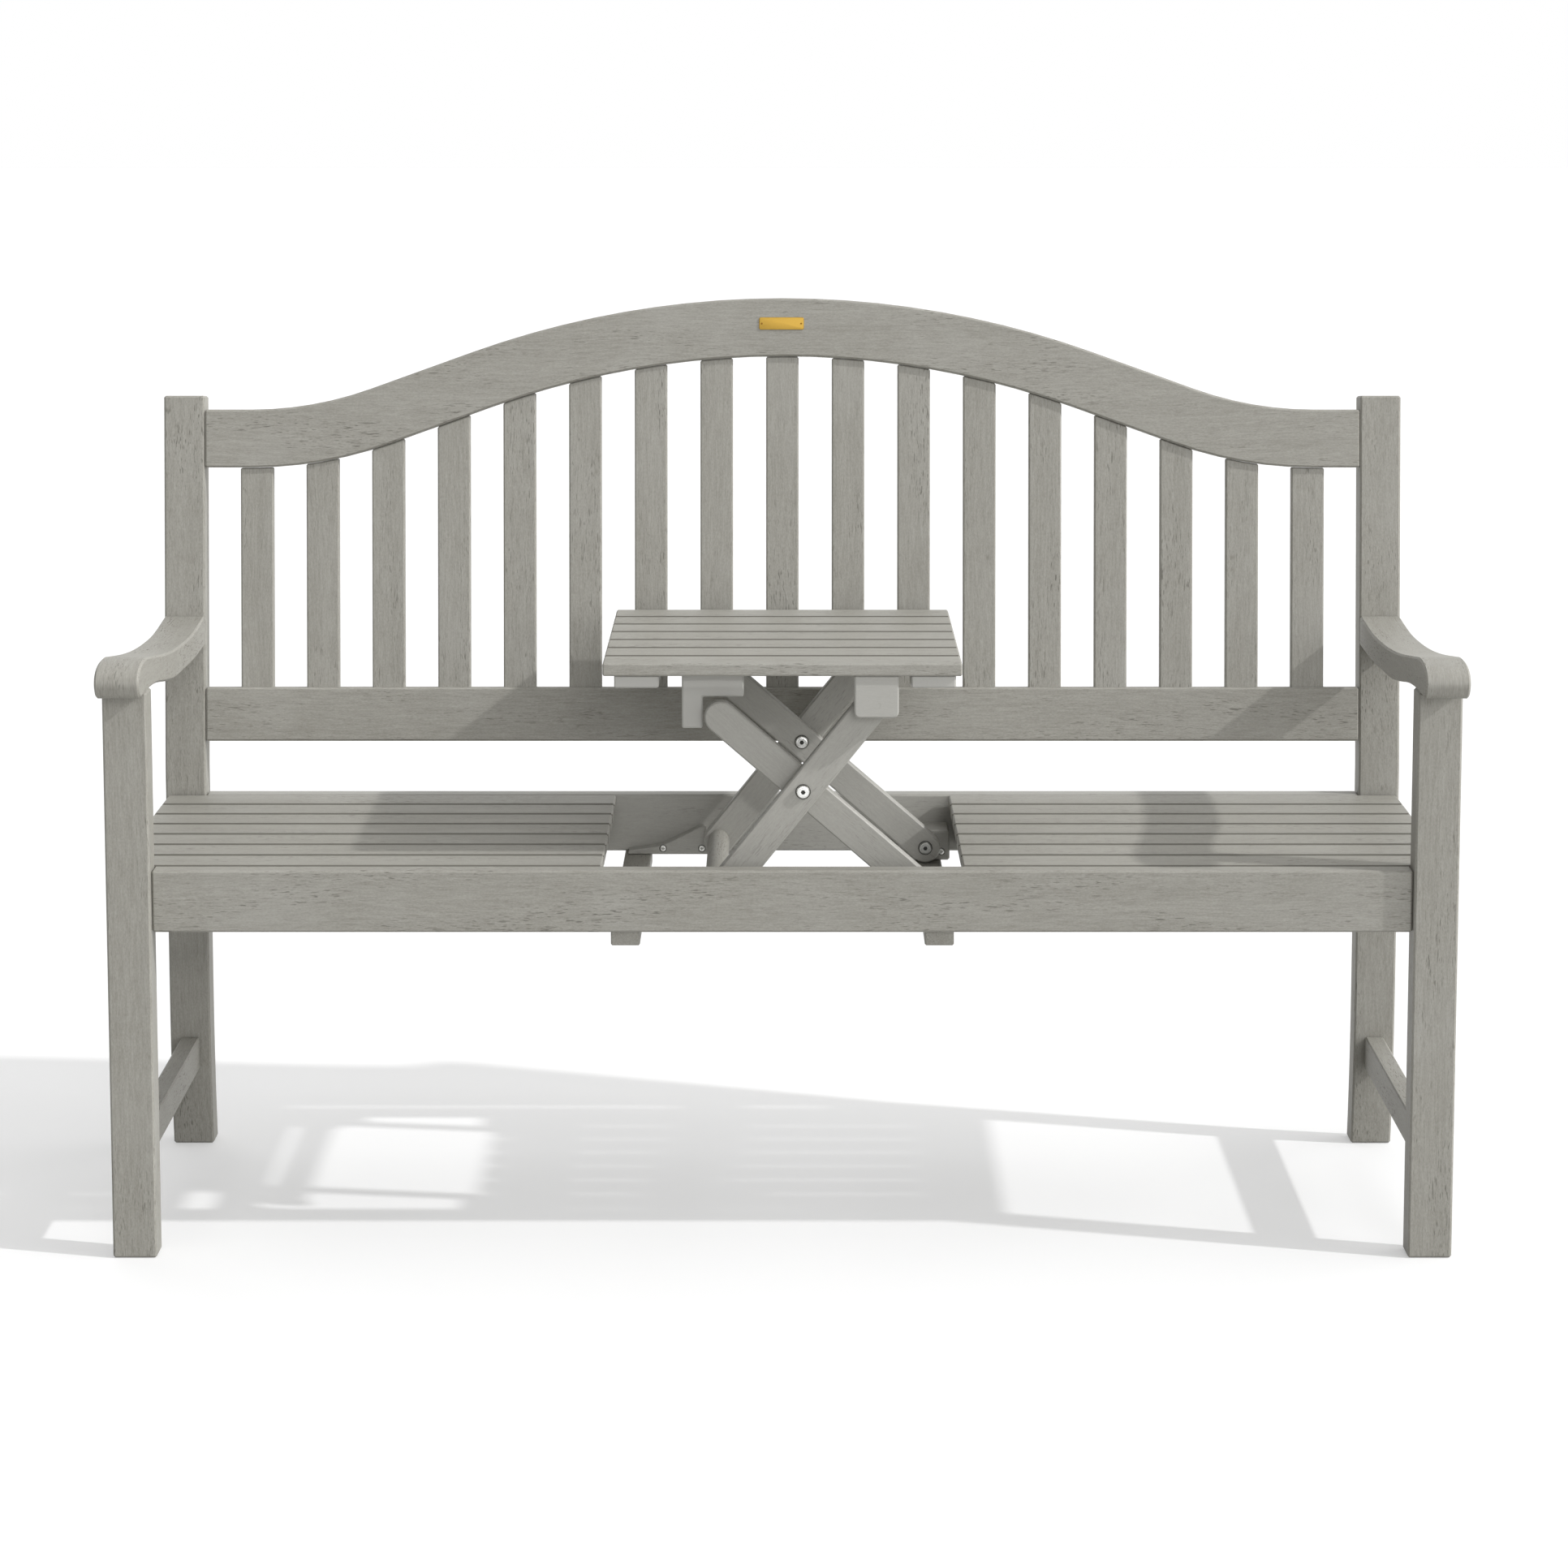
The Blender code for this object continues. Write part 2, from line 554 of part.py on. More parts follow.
def base_blocks(frame, wood, steel):
    """The blocks on the right-hand cross batten that carry the base pivots, with their bolts."""
    spans = {
        "front": (FRONT_RAIL_BACK + GAP, INNER_FRONT - GAP),
        "rear": (mirrored(INNER_FRONT) + GAP, REAR_RAIL_FRONT - GAP),
    }
    right = SEAT_SLAT_INNER - BASE_BLOCK_INSET
    for end, (low, high) in spans.items():
        block = board(
            f"base_block_{end}",
            (right - BASE_BLOCK_WIDTH, low, RAIL_BOTTOM + GAP),
            (right, high, RAIL_BOTTOM + BASE_BLOCK_HEIGHT),
            frame,
            wood,
        )
        drill(block, BASE_PIVOT_X, BASE_PIVOT_Z, low - DRILL_PAST, high + DRILL_PAST, BOLT_HOLE)
    bolt("base_bolt_front", BASE_PIVOT_X, BASE_PIVOT_Z, INNER_BACK + GAP, -1, BASE_BOLT_GRIP, frame, steel)
    bolt("base_bolt_rear", BASE_PIVOT_X, BASE_PIVOT_Z, mirrored(INNER_BACK) - GAP, 1, BASE_BOLT_GRIP, frame, steel)


def arm_outline(start, end):
    """A flat arm with round ends about the two places on its length."""
    radius = ARM_WIDTH / 2
    right = arc((end, 0), radius, -math.pi / 2, math.pi / 2, ARM_END_STEPS)
    left = arc((start, 0), radius, math.pi / 2, 3 * math.pi / 2, ARM_END_STEPS)
    return [*right, *left]


def inner_arms(inner, wood, steel):
    """From the base pivots up to the left, with the centre bolts, whose heads face the front."""
    outline = arm_outline(0, INNER_LOWER + INNER_UPPER)
    spans = {
        "front": (INNER_FRONT, INNER_BACK),
        "rear": (mirrored(INNER_BACK), mirrored(INNER_FRONT)),
    }
    for end, (low, high) in spans.items():
        arm = extruded(f"inner_arm_{end}", outline, "Y", low, high, inner, wood, SLAT_EASED)
        for x in (0, INNER_LOWER):
            drill(arm, x, 0, low - DRILL_PAST, high + DRILL_PAST, BOLT_HOLE)
    grip = 2 * ARM_THICKNESS + RUNNING_GAP
    bolt("centre_bolt_front", INNER_LOWER, 0, OUTER_FRONT - GAP, 1, grip, inner, steel)
    bolt("centre_bolt_rear", INNER_LOWER, 0, mirrored(INNER_BACK) - GAP, 1, grip, inner, steel)


def outer_arms(outer, wood):
    """Outside the inner ones, tied at their lower ends by an oval crossbar."""
    outline = arm_outline(-OUTER_LOWER, OUTER_UPPER)
    back_face = OUTER_FRONT + ARM_THICKNESS
    spans = {
        "front": (OUTER_FRONT, back_face),
        "rear": (mirrored(back_face), mirrored(OUTER_FRONT)),
    }
    for end, (low, high) in spans.items():
        arm = extruded(f"outer_arm_{end}", outline, "Y", low, high, outer, wood, SLAT_EASED)
        for x in (0, OUTER_UPPER):
            drill(arm, x, 0, low - DRILL_PAST, high + DRILL_PAST, BOLT_HOLE)
        if end == "front":
            drill(arm, OUTER_UPPER, 0, high - COUNTERBORE_DEPTH, high + DRILL_PAST, WASHER_HOLE)
        else:
            drill(arm, OUTER_UPPER, 0, low - DRILL_PAST, low + COUNTERBORE_DEPTH, WASHER_HOLE)
    upright = Matrix.Rotation(-OUTER_ANGLE, 2)
    oval = []
    for across, rise in arc((0, 0), 0.5, 0, math.tau, CROSSBAR_SIDES)[:-1]:
        x, z = upright @ Vector((CROSSBAR_WIDTH * across, CROSSBAR_HEIGHT * rise))
        oval.append((x - OUTER_LOWER, z))
    extruded("arm_crossbar", oval, "Y", back_face + GAP, mirrored(back_face) - GAP, outer, wood, SLAT_EASED)


def table_pieces(table, wood, steel):
    """Slats on two battens, the pivot blocks outside the outer arms, and the L-shaped rests inside the inner ones."""
    middle = -pivot_x_at_rest()
    top = TABLE_ABOVE_PIVOT
    underside = TABLE_UNDERSIDE
    for i in range(SLATS_A_SIDE):
        low = (middle - TABLE_WIDTH / 2, slat_depth(i), underside)
        high = (middle + TABLE_WIDTH / 2, slat_depth(i) + SLAT_WIDTH, top)
        board(f"table_slat_{i + 1}", low, high, table, wood, SLAT_EASED)
    batten_top = underside - GAP
    battens = {
        "left": TABLE_BATTEN_LEFT_INSET - TABLE_WIDTH / 2,
        "right": TABLE_WIDTH / 2 - TABLE_BATTEN_RIGHT_INSET,
    }
    for side, x in battens.items():
        half = TABLE_BATTEN_WIDTH / 2
        board(
            f"table_batten_{side}",
            (middle + x - half, SLATS_FRONT + TABLE_BATTEN_END_INSET, batten_top - TABLE_BATTEN_THICKNESS),
            (middle + x + half, SLATS_BACK - TABLE_BATTEN_END_INSET, batten_top),
            table,
            wood,
            SLAT_EASED,
        )
    spans = {
        "front": (TABLE_BLOCK_FRONT, TABLE_BLOCK_FRONT + TABLE_BLOCK_THICKNESS),
        "rear": (mirrored(TABLE_BLOCK_FRONT + TABLE_BLOCK_THICKNESS), mirrored(TABLE_BLOCK_FRONT)),
    }
    half = TABLE_BLOCK_WIDTH / 2
    low_edge = batten_top - TABLE_BLOCK_HEIGHT
    corner = TABLE_BLOCK_CORNER
    steps = TABLE_BLOCK_CORNER_STEPS
    outline = [(half, batten_top), (-half, batten_top)]
    outline += arc((-half + corner, low_edge + corner), corner, math.pi, 1.5 * math.pi, steps)
    outline += arc((half - corner, low_edge + corner), corner, 1.5 * math.pi, 2 * math.pi, steps)
    for end, (low, high) in spans.items():
        block = extruded(f"table_block_{end}", outline, "Y", low, high, table, wood, SLAT_EASED)
        drill(block, 0, 0, low - DRILL_PAST, high + DRILL_PAST, BOLT_HOLE)
    arm_end = middle + INNER_END_X
    rest = [
        (arm_end + REST_LEFT, batten_top),
        (arm_end + REST_LEFT, batten_top - REST_HEIGHT),
        (arm_end + REST_STEP, batten_top - REST_HEIGHT),
        (arm_end + REST_STEP, batten_top - REST_STEP_HEIGHT),
        (arm_end + REST_RIGHT, batten_top - REST_STEP_HEIGHT),
        (arm_end + REST_RIGHT, batten_top),
    ]
    back_face = REST_FRONT + REST_THICKNESS
    extruded("table_rest_front", rest, "Y", REST_FRONT, back_face, table, wood, SLAT_EASED)
    extruded("table_rest_rear", rest, "Y", mirrored(back_face), mirrored(REST_FRONT), table, wood, SLAT_EASED)
    seat = OUTER_FRONT + ARM_THICKNESS - COUNTERBORE_DEPTH + GAP
    grip = ARM_THICKNESS - COUNTERBORE_DEPTH + TABLE_BOLT_GRIP
    bolt("table_bolt_front", 0, 0, seat, -1, grip, table, steel)
    bolt("table_bolt_rear", 0, 0, mirrored(seat), 1, grip, table, steel)


def pivot_x_at_rest():
    """How far right of the bench's middle the table pivots stand."""
    return BASE_PIVOT_X - INNER_LOWER * math.cos(INNER_ANGLE) + OUTER_UPPER * math.cos(OUTER_ANGLE)


def centre_on_origin(root):
    """Moves the bench so that the middle of its footprint lies on the origin."""
    bpy.context.view_layer.update()
    depths = []
    for obj in bpy.context.scene.objects:
        if obj.type == "MESH" and not obj.hide_render:
            evaluated = obj.evaluated_get(bpy.context.evaluated_depsgraph_get())
            depths += [(obj.matrix_world @ vertex.co).y for vertex in evaluated.data.vertices]
    root.location.y = -(min(depths) + max(depths)) / 2


def main():
    for obj in list(bpy.data.objects):
        bpy.data.objects.remove(obj, do_unlink=True)
    wood = material("Grey-washed hardwood", (0.31, 0.30, 0.265), 0.62)
    table_wood = material("Grey-washed hardwood of the table", (0.34, 0.335, 0.30), 0.6)
    steel = material("Bright steel", (0.62, 0.62, 0.60), 0.25, 1.0)

    bench = joint("bench", None, (0, 0, 0))
    frame = joint("frame", bench, (0, 0, 0))
    leaning = joint("leaning_back", frame, (0, BACK_LEG_FRONT, BEND_HEIGHT))
    leaning.rotation_euler = (-LEAN, 0, 0)
    inner_pitch = math.pi - INNER_ANGLE
    inner = joint("inner_arms", bench, (BASE_PIVOT_X, 0, BASE_PIVOT_Z), inner_pitch)
    outer = joint("outer_arms", inner, (INNER_LOWER, 0, 0), OUTER_ANGLE - inner_pitch)
    table = joint("table", outer, (OUTER_UPPER, 0, 0), -OUTER_ANGLE)

    front_legs(frame, wood)
    back_legs(frame, wood)
    armrests(frame, wood)
    side_boards(frame, wood)
    seat_rails(frame, wood)
    seat_slats(frame, wood)
    seat_underframe(frame, wood)
    back(leaning, wood)
    cleats(frame, wood)
    base_blocks(frame, wood, steel)
    inner_arms(inner, wood, steel)
    outer_arms(outer, wood)
    table_pieces(table, table_wood, steel)
    centre_on_origin(bench)


main()
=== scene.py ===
"""Dresses the outdoor bench with its pop-up table: washed hardwood, steel bolts, screws and a brass plate.

Metres, +Z up, the bench facing -Y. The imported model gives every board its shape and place; this script
finishes the boards, adds the small fittings and sets the stage.
"""

import json
import math

import bmesh
import bpy
from bpy.props import FloatProperty, FloatVectorProperty, PointerProperty
from mathutils import Euler, Matrix, Vector


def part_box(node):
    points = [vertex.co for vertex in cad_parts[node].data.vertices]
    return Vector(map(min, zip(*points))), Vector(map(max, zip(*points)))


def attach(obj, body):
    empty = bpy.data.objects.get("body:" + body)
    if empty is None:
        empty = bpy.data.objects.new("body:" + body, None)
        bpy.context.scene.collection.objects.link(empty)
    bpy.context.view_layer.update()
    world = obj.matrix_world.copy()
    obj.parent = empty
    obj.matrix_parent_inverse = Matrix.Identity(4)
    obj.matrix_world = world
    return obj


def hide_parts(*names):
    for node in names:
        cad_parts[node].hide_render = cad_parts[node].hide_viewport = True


bl_info = {
    "name": "Bench with Pop-up Table",
    "version": (1, 0, 0),
    "blender": (4, 5, 0),
    "location": "View3D > Sidebar > Bench",
    "description": "Finishes a slatted garden bench whose middle rises into a small table",
    "category": "Object",
}

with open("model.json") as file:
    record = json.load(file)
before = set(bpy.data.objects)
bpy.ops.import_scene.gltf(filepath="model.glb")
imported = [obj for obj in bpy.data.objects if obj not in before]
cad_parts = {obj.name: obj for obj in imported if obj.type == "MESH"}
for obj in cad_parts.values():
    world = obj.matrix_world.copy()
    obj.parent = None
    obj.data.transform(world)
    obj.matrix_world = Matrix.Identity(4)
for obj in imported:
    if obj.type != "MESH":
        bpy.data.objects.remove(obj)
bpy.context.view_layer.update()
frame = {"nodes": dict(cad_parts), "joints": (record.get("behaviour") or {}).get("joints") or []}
NODES = frame["nodes"]
JOINTS = {joint["name"]: joint for joint in frame["joints"]}

BASE_PIVOT = Vector(JOINTS["table_fold"]["pos_m"])
CENTRE_PIVOT = Vector(JOINTS["arms_cross"]["pos_m"])
TABLE_PIVOT = Vector(JOINTS["table_pivot"]["pos_m"])
INNER_ARM_LINE = CENTRE_PIVOT - BASE_PIVOT
OUTER_ARM_LINE = TABLE_PIVOT - CENTRE_PIVOT

# The back leans in the plane that the crest's and the lower rail's front faces share.
LEAN = math.radians(5.9)
ACROSS = Vector((1, 0, 0))
DEPTH = Vector((0, 1, 0))
UP = Vector((0, 0, 1))
UP_THE_LEAN = Vector((0, math.sin(LEAN), math.cos(LEAN)))
OUT_OF_THE_LEAN = Vector((0, -math.cos(LEAN), math.sin(LEAN)))
BACK_SLAT_PITCH = 0.0788

# Each board has its own part of the wood's pattern: its number times these steps, within this width and
# height. The back's slats, counted from the middle one, have steps of their own.
BOARD_STEP = (1.37, 0.71, 0.43)
BOARD_STEP_WIDTH = 5
BOARD_STEP_HEIGHT = 3
BACK_SLAT_STEP = (1.37, 0.23)

# The grain wanders about a centimetre to the side over 40 cm of its length.
WANDER_PER_METRE = 2.6
WANDER = 0.026

# Shares of the wood's pattern: wash in the patches, pores between their clusters, and what fibres and pores
# add to the roughness and the relief.
PATCH_WASH = 0.18
SPARSE_PORES = 0.18
FIBRE_ROUGHNESS = 0.16
PORE_ROUGHNESS = 0.25
FIBRE_RELIEF = 0.35

# Each metal's darker and lighter tone, and its roughness where it is smoothest.
METALS = {
    "Bright steel": ((0.62, 0.62, 0.60), (0.86, 0.86, 0.84), 0.16),
    # Painted shade: the socket's floor is near-black for the shade inside the socket.
    "Socket shade painted dark": ((0.02, 0.02, 0.018), (0.07, 0.07, 0.065), 0.45),
    "Dull steel": ((0.26, 0.26, 0.24), (0.42, 0.42, 0.40), 0.34),
    # Painted shade: the washer's near-black stands for the shade round a bolt's head.
    "Washer painted dark as shade": ((0.03, 0.03, 0.028), (0.09, 0.088, 0.08), 0.40),
    "Screw steel": ((0.42, 0.42, 0.39), (0.66, 0.66, 0.63), 0.30),
    # Painted shade: the dark edge round a screw's head and its recess's floor.
    "Screw shade painted dark": ((0.04, 0.04, 0.036), (0.11, 0.11, 0.10), 0.5),
    "Brushed brass": ((0.28, 0.172, 0.026), (0.38, 0.242, 0.048), 0.38),
    "Brass pins": ((0.15, 0.070, 0.012), (0.24, 0.125, 0.025), 0.40),
}

# Points closer than these are one point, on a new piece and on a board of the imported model.
SAME_POINT = 1e-7
SAME_BOARD_POINT = 0.00001
CRISP_ANGLE = math.radians(30)
SMOOTH_ANGLE = math.radians(35)

# A pivot bolt: the easing of its shank's end and of its washer, then its head. The rim's points are given
# beyond the head's radius and above the washer, and the dome's as a share of the radius and below the top.
SHANK_EASE = 0.0005
WASHER_EASE = 0.0002
HEAD_RIM = ((-0.0003, 0.0), (0.0, 0.0004), (0.0, 0.0012), (-0.0005, 0.0019))
HEAD_DOME = ((0.86, 0.00025), (0.70, 0.0001), (0.67, 0.00035), (0.62, 0.00035), (0.59, 0.0))
SOCKET_DEPTH = 0.0024

PLUG_DEPTH = 0.003
PLUG_EASE = 0.0004
PLUG_SUNK = 0.0001
PLUG_FIT = 0.0002

# A wood screw: what is in the wood, a dark edge that paints the shade of its countersink, and its head, whose
# points are a share of its radius and a height. The recess's length and width are shares of the radius too.
SCREW_DEPTH = 0.003
SCREW_TIP = 0.4
SCREW_SEAT = 0.0002
COUNTERSINK = 0.0009
COUNTERSINK_GAP = 0.0001
COUNTERSINK_PROUD = 0.00015
SCREW_HEAD = ((1.0, 0.0004), (0.9, 0.0008), (0.72, 0.0010), (0.0, 0.0010))
RECESS_LENGTH = 1.15
RECESS_WIDTH = 0.3
RECESS_DEPTH = 0.0016

# Where the screws stand: above the cleats' underside, and in from the base blocks' ends.
CLEAT_SCREW_RISE = 0.0072
BLOCK_SCREW_INSET = 0.010
BLOCK_SCREW_RISE = 0.0105

PLATE_CORNER = 0.0022
PLATE_CORNER_STEPS = 6
PLATE_THICKNESS = 0.0012
PLATE_EASE = 0.0005
PIN_INSET = 0.0032
PIN_PROFILE = (
    (0, 0.0002),
    (0.0011, 0.0002),
    (0.0011, 0.0013),
    (0.0009, 0.0016),
    (0.0005, 0.00175),
    (0, 0.0018),
)

# The picture's middle lies below the camera's axis and a touch to its right, as shares of the picture.
SENSOR_WIDTH = 36
CAMERA_SHIFT = (0.00104, -0.15)
CAMERA_REACH = 50
WHITE = (1, 1, 1, 1)
FLOOR_HALF_SIZE = 30
FLOOR_DROP = 0.0005
FLOOR_PAPER = (0.96, 0.96, 0.96, 1)
FLOOR_LIFT = 0.35
FLOOR_BOUNCE = (0.50, 0.50, 0.49, 1)

# Where the studio's surround is brightest: in front, a little to the right.
FRONT_FILL_SIDE = Vector((0.35, -0.93, 0.10))


class BenchWood(bpy.types.PropertyGroup):
    """The grey-washed hardwood."""

    light: FloatVectorProperty(
        name="Light grain",
        description="Washed early wood",
        subtype="COLOR",
        size=3,
        default=(0.352, 0.343, 0.310),
    )
    dark: FloatVectorProperty(
        name="Dark grain",
        description="Late wood that took less wash",
        subtype="COLOR",
        size=3,
        default=(0.232, 0.223, 0.194),
    )
    pore: FloatVectorProperty(
        name="Pores",
        description="Open pores that kept the dark stain",
        subtype="COLOR",
        size=3,
        default=(0.092, 0.086, 0.072),
    )
    wash: FloatVectorProperty(
        name="Wash",
        description="Pale wash left on the surface",
        subtype="COLOR",
        size=3,
        default=(0.43, 0.425, 0.40),
    )
    # Painted shade: the dark colour that the slats' edges take in the gaps between them.
    stain: FloatVectorProperty(
        name="Painted gap shade",
        description="Painted shade on slat edges in the gaps",
        subtype="COLOR",
        size=3,
        default=(0.115, 0.110, 0.092),
    )
    pore_strength: FloatProperty(
        name="Pore strength", description="How dark the pores are", default=0.66, min=0, max=1
    )
    roughness: FloatProperty(
        name="Roughness", description="Roughness of the washed wood", default=0.55, min=0, max=1
    )
    sheen: FloatProperty(
        name="Sheen", description="Strength of the wood's reflection", default=0.42, min=0, max=1
    )
    relief: FloatProperty(
        name="Relief",
        description="Depth of the open grain",
        default=0.00022,
        subtype="DISTANCE",
        unit="LENGTH",
    )
    relief_strength: FloatProperty(
        name="Relief strength", description="How strongly the open grain shows", default=0.55, min=0, max=1
    )


class BenchFittings(bpy.types.PropertyGroup):
    """Bolts, screws and the plate."""

    head_diameter: FloatProperty(
        name="Bolt head",
        description="Across a pivot bolt's domed head",
        default=0.0148,
        subtype="DISTANCE",
        unit="LENGTH",
    )
    head_height: FloatProperty(
        name="Head height",
        description="Height of a bolt's head",
        default=0.0034,
        subtype="DISTANCE",
        unit="LENGTH",
    )
    washer_diameter: FloatProperty(
        name="Washer",
        description="Across the washer",
        default=0.0168,
        subtype="DISTANCE",
        unit="LENGTH",
    )
    washer_thickness: FloatProperty(
        name="Washer thickness",
        description="Thickness of the washer",
        default=0.0012,
        subtype="DISTANCE",
        unit="LENGTH",
    )
    shank_diameter: FloatProperty(
        name="Shank",
        description="Across a bolt's shank",
        default=0.008,
        subtype="DISTANCE",
        unit="LENGTH",
    )
    cad_head_stack: FloatProperty(
        name="Head and washer",
        description="Height that the solid bolt's head and washer take",
        default=0.0052,
        subtype="DISTANCE",
        unit="LENGTH",
    )
    socket_across: FloatProperty(
        name="Hex socket",
        description="Across the flats of the socket",
        default=0.0047,
        subtype="DISTANCE",
        unit="LENGTH",
    )
    screw_diameter: FloatProperty(
        name="Screw head",
        description="Across a wood screw's head",
        default=0.0072,
        subtype="DISTANCE",
        unit="LENGTH",
    )
    cleat_screws: FloatVectorProperty(
        name="Cleat screws",
        description="Where the two screws stand along a cleat",
        size=2,
        default=(-0.143, -0.0965),
    )
    plate_width: FloatProperty(
        name="Plate width",
        description="Length of the brass plate",
        default=0.0536,
        subtype="DISTANCE",
        unit="LENGTH",
    )
    plate_height: FloatProperty(
        name="Plate height",
        description="Height of the brass plate",
        default=0.0148,
        subtype="DISTANCE",
        unit="LENGTH",
    )
    plate_below_top: FloatProperty(
        name="Plate below top",
        description="From the crest's top down to the plate's middle",
        default=0.0305,
        subtype="DISTANCE",
        unit="LENGTH",
    )
    plate_middle: FloatProperty(
        name="Plate middle",
        description="How far the plate's middle is off the bench's middle",
        default=-0.001,
        subtype="DISTANCE",
        unit="LENGTH",
    )


class BenchStage(bpy.types.PropertyGroup):
    """Camera, light and background."""

    camera_distance: FloatProperty(
        name="Camera distance", description="From the front legs to the camera", default=4.555, unit="LENGTH"
    )
    camera_height: FloatProperty(
        name="Camera height", description="Above the ground", default=1.3833, unit="LENGTH"
    )
    camera_pitch: FloatProperty(
        name="Camera pitch",
        description="Downward tilt",
        default=math.radians(7.398),
        subtype="ANGLE",
        unit="ROTATION",
    )
    lens: FloatProperty(name="Lens", description="Focal length in millimetres", default=97.34)
    key_energy: FloatProperty(name="Key light", description="Hard light from the upper right", default=2.1)
    side_energy: FloatProperty(name="Side light", description="Broad light from the right", default=2.0)
    front_energy: FloatProperty(name="Front light", description="Small light from the front", default=0.12)
    front_soft_energy: FloatProperty(
        name="Front softbox", description="Broad low light from the front", default=1.14
    )
    rear_energy: FloatProperty(name="Rear light", description="Broad light from behind", default=1.3)
    overhead_energy: FloatProperty(name="Overhead light", description="Broad light from above", default=0.84)
    fill: FloatProperty(name="Fill", description="Strength of the even light from all round", default=0.11)
    front_fill: FloatProperty(
        name="Front fill",
        description="How much stronger the surround is in front than at the side",
        default=0.12,
    )


SETTINGS = (("bench_wood", BenchWood), ("bench_fittings", BenchFittings), ("bench_stage", BenchStage))


def node(tree, kind, **values):
    """Adds a shader node and sets its properties, or its inputs where the name is one of those."""
    made = tree.nodes.new(kind)
    for name, value in values.items():
        if name in made.inputs:
            made.inputs[name].default_value = value
        else:
            setattr(made, name, value)
    return made


def link(tree, source, target):
    tree.links.new(source, target)


def stretched_noise(tree, vector, along, across, detail, roughness=0.5):
    """Noise drawn out along the grain: along and across are its features per metre."""
    mapping = node(tree, "ShaderNodeMapping")
    mapping.inputs["Scale"].default_value = (along, across, across)
    noise = node(tree, "ShaderNodeTexNoise", Scale=1.0, Detail=detail, Roughness=roughness)
    link(tree, vector, mapping.inputs["Vector"])
    link(tree, mapping.outputs["Vector"], noise.inputs["Vector"])
    return noise.outputs["Fac"]


def band(tree, value, low, high):
    """0 below low, 1 above high, and smooth between."""
    made = node(tree, "ShaderNodeMapRange", interpolation_type="SMOOTHSTEP")
    made.inputs["From Min"].default_value = low
    made.inputs["From Max"].default_value = high
    link(tree, value, made.inputs["Value"])
    return made.outputs["Result"]


def math_node(tree, operation, *values):
    """Joins sockets and floats with a Math node."""
    made = node(tree, "ShaderNodeMath", operation=operation)
    for socket, value in zip(made.inputs, values):
        if isinstance(value, float):
            socket.default_value = value
        else:
            link(tree, value, socket)
    return made.outputs["Value"]


def mix_colour(tree, factor, first, second):
    """Mixes two colours, each a socket or an RGB triple."""
    made = node(tree, "ShaderNodeMix", data_type="RGBA")
    if isinstance(factor, bpy.types.NodeSocket):
        link(tree, factor, made.inputs[0])
    else:
        made.inputs[0].default_value = factor
    for socket, value in ((made.inputs[6], first), (made.inputs[7], second)):
        if isinstance(value, bpy.types.NodeSocket):
            link(tree, value, socket)
        else:
            socket.default_value = (*value, 1)
    return made.outputs[2]


def facing(tree, axis):
    """How squarely a face looks along an axis, one way or the other."""
    geometry = node(tree, "ShaderNodeNewGeometry")
    split = node(tree, "ShaderNodeSeparateXYZ")
    link(tree, geometry.outputs["Normal"], split.inputs["Vector"])
    return math_node(tree, "ABSOLUTE", split.outputs[axis])


def shown(tree):
    """1 for what the camera sees, also in metal or through glass, and 0 for what only lights the bench."""
    path = node(tree, "ShaderNodeLightPath")
    mirrored = math_node(tree, "MAXIMUM", path.outputs["Is Glossy Ray"], path.outputs["Is Transmission Ray"])
    return math_node(tree, "MAXIMUM", path.outputs["Is Camera Ray"], mirrored)


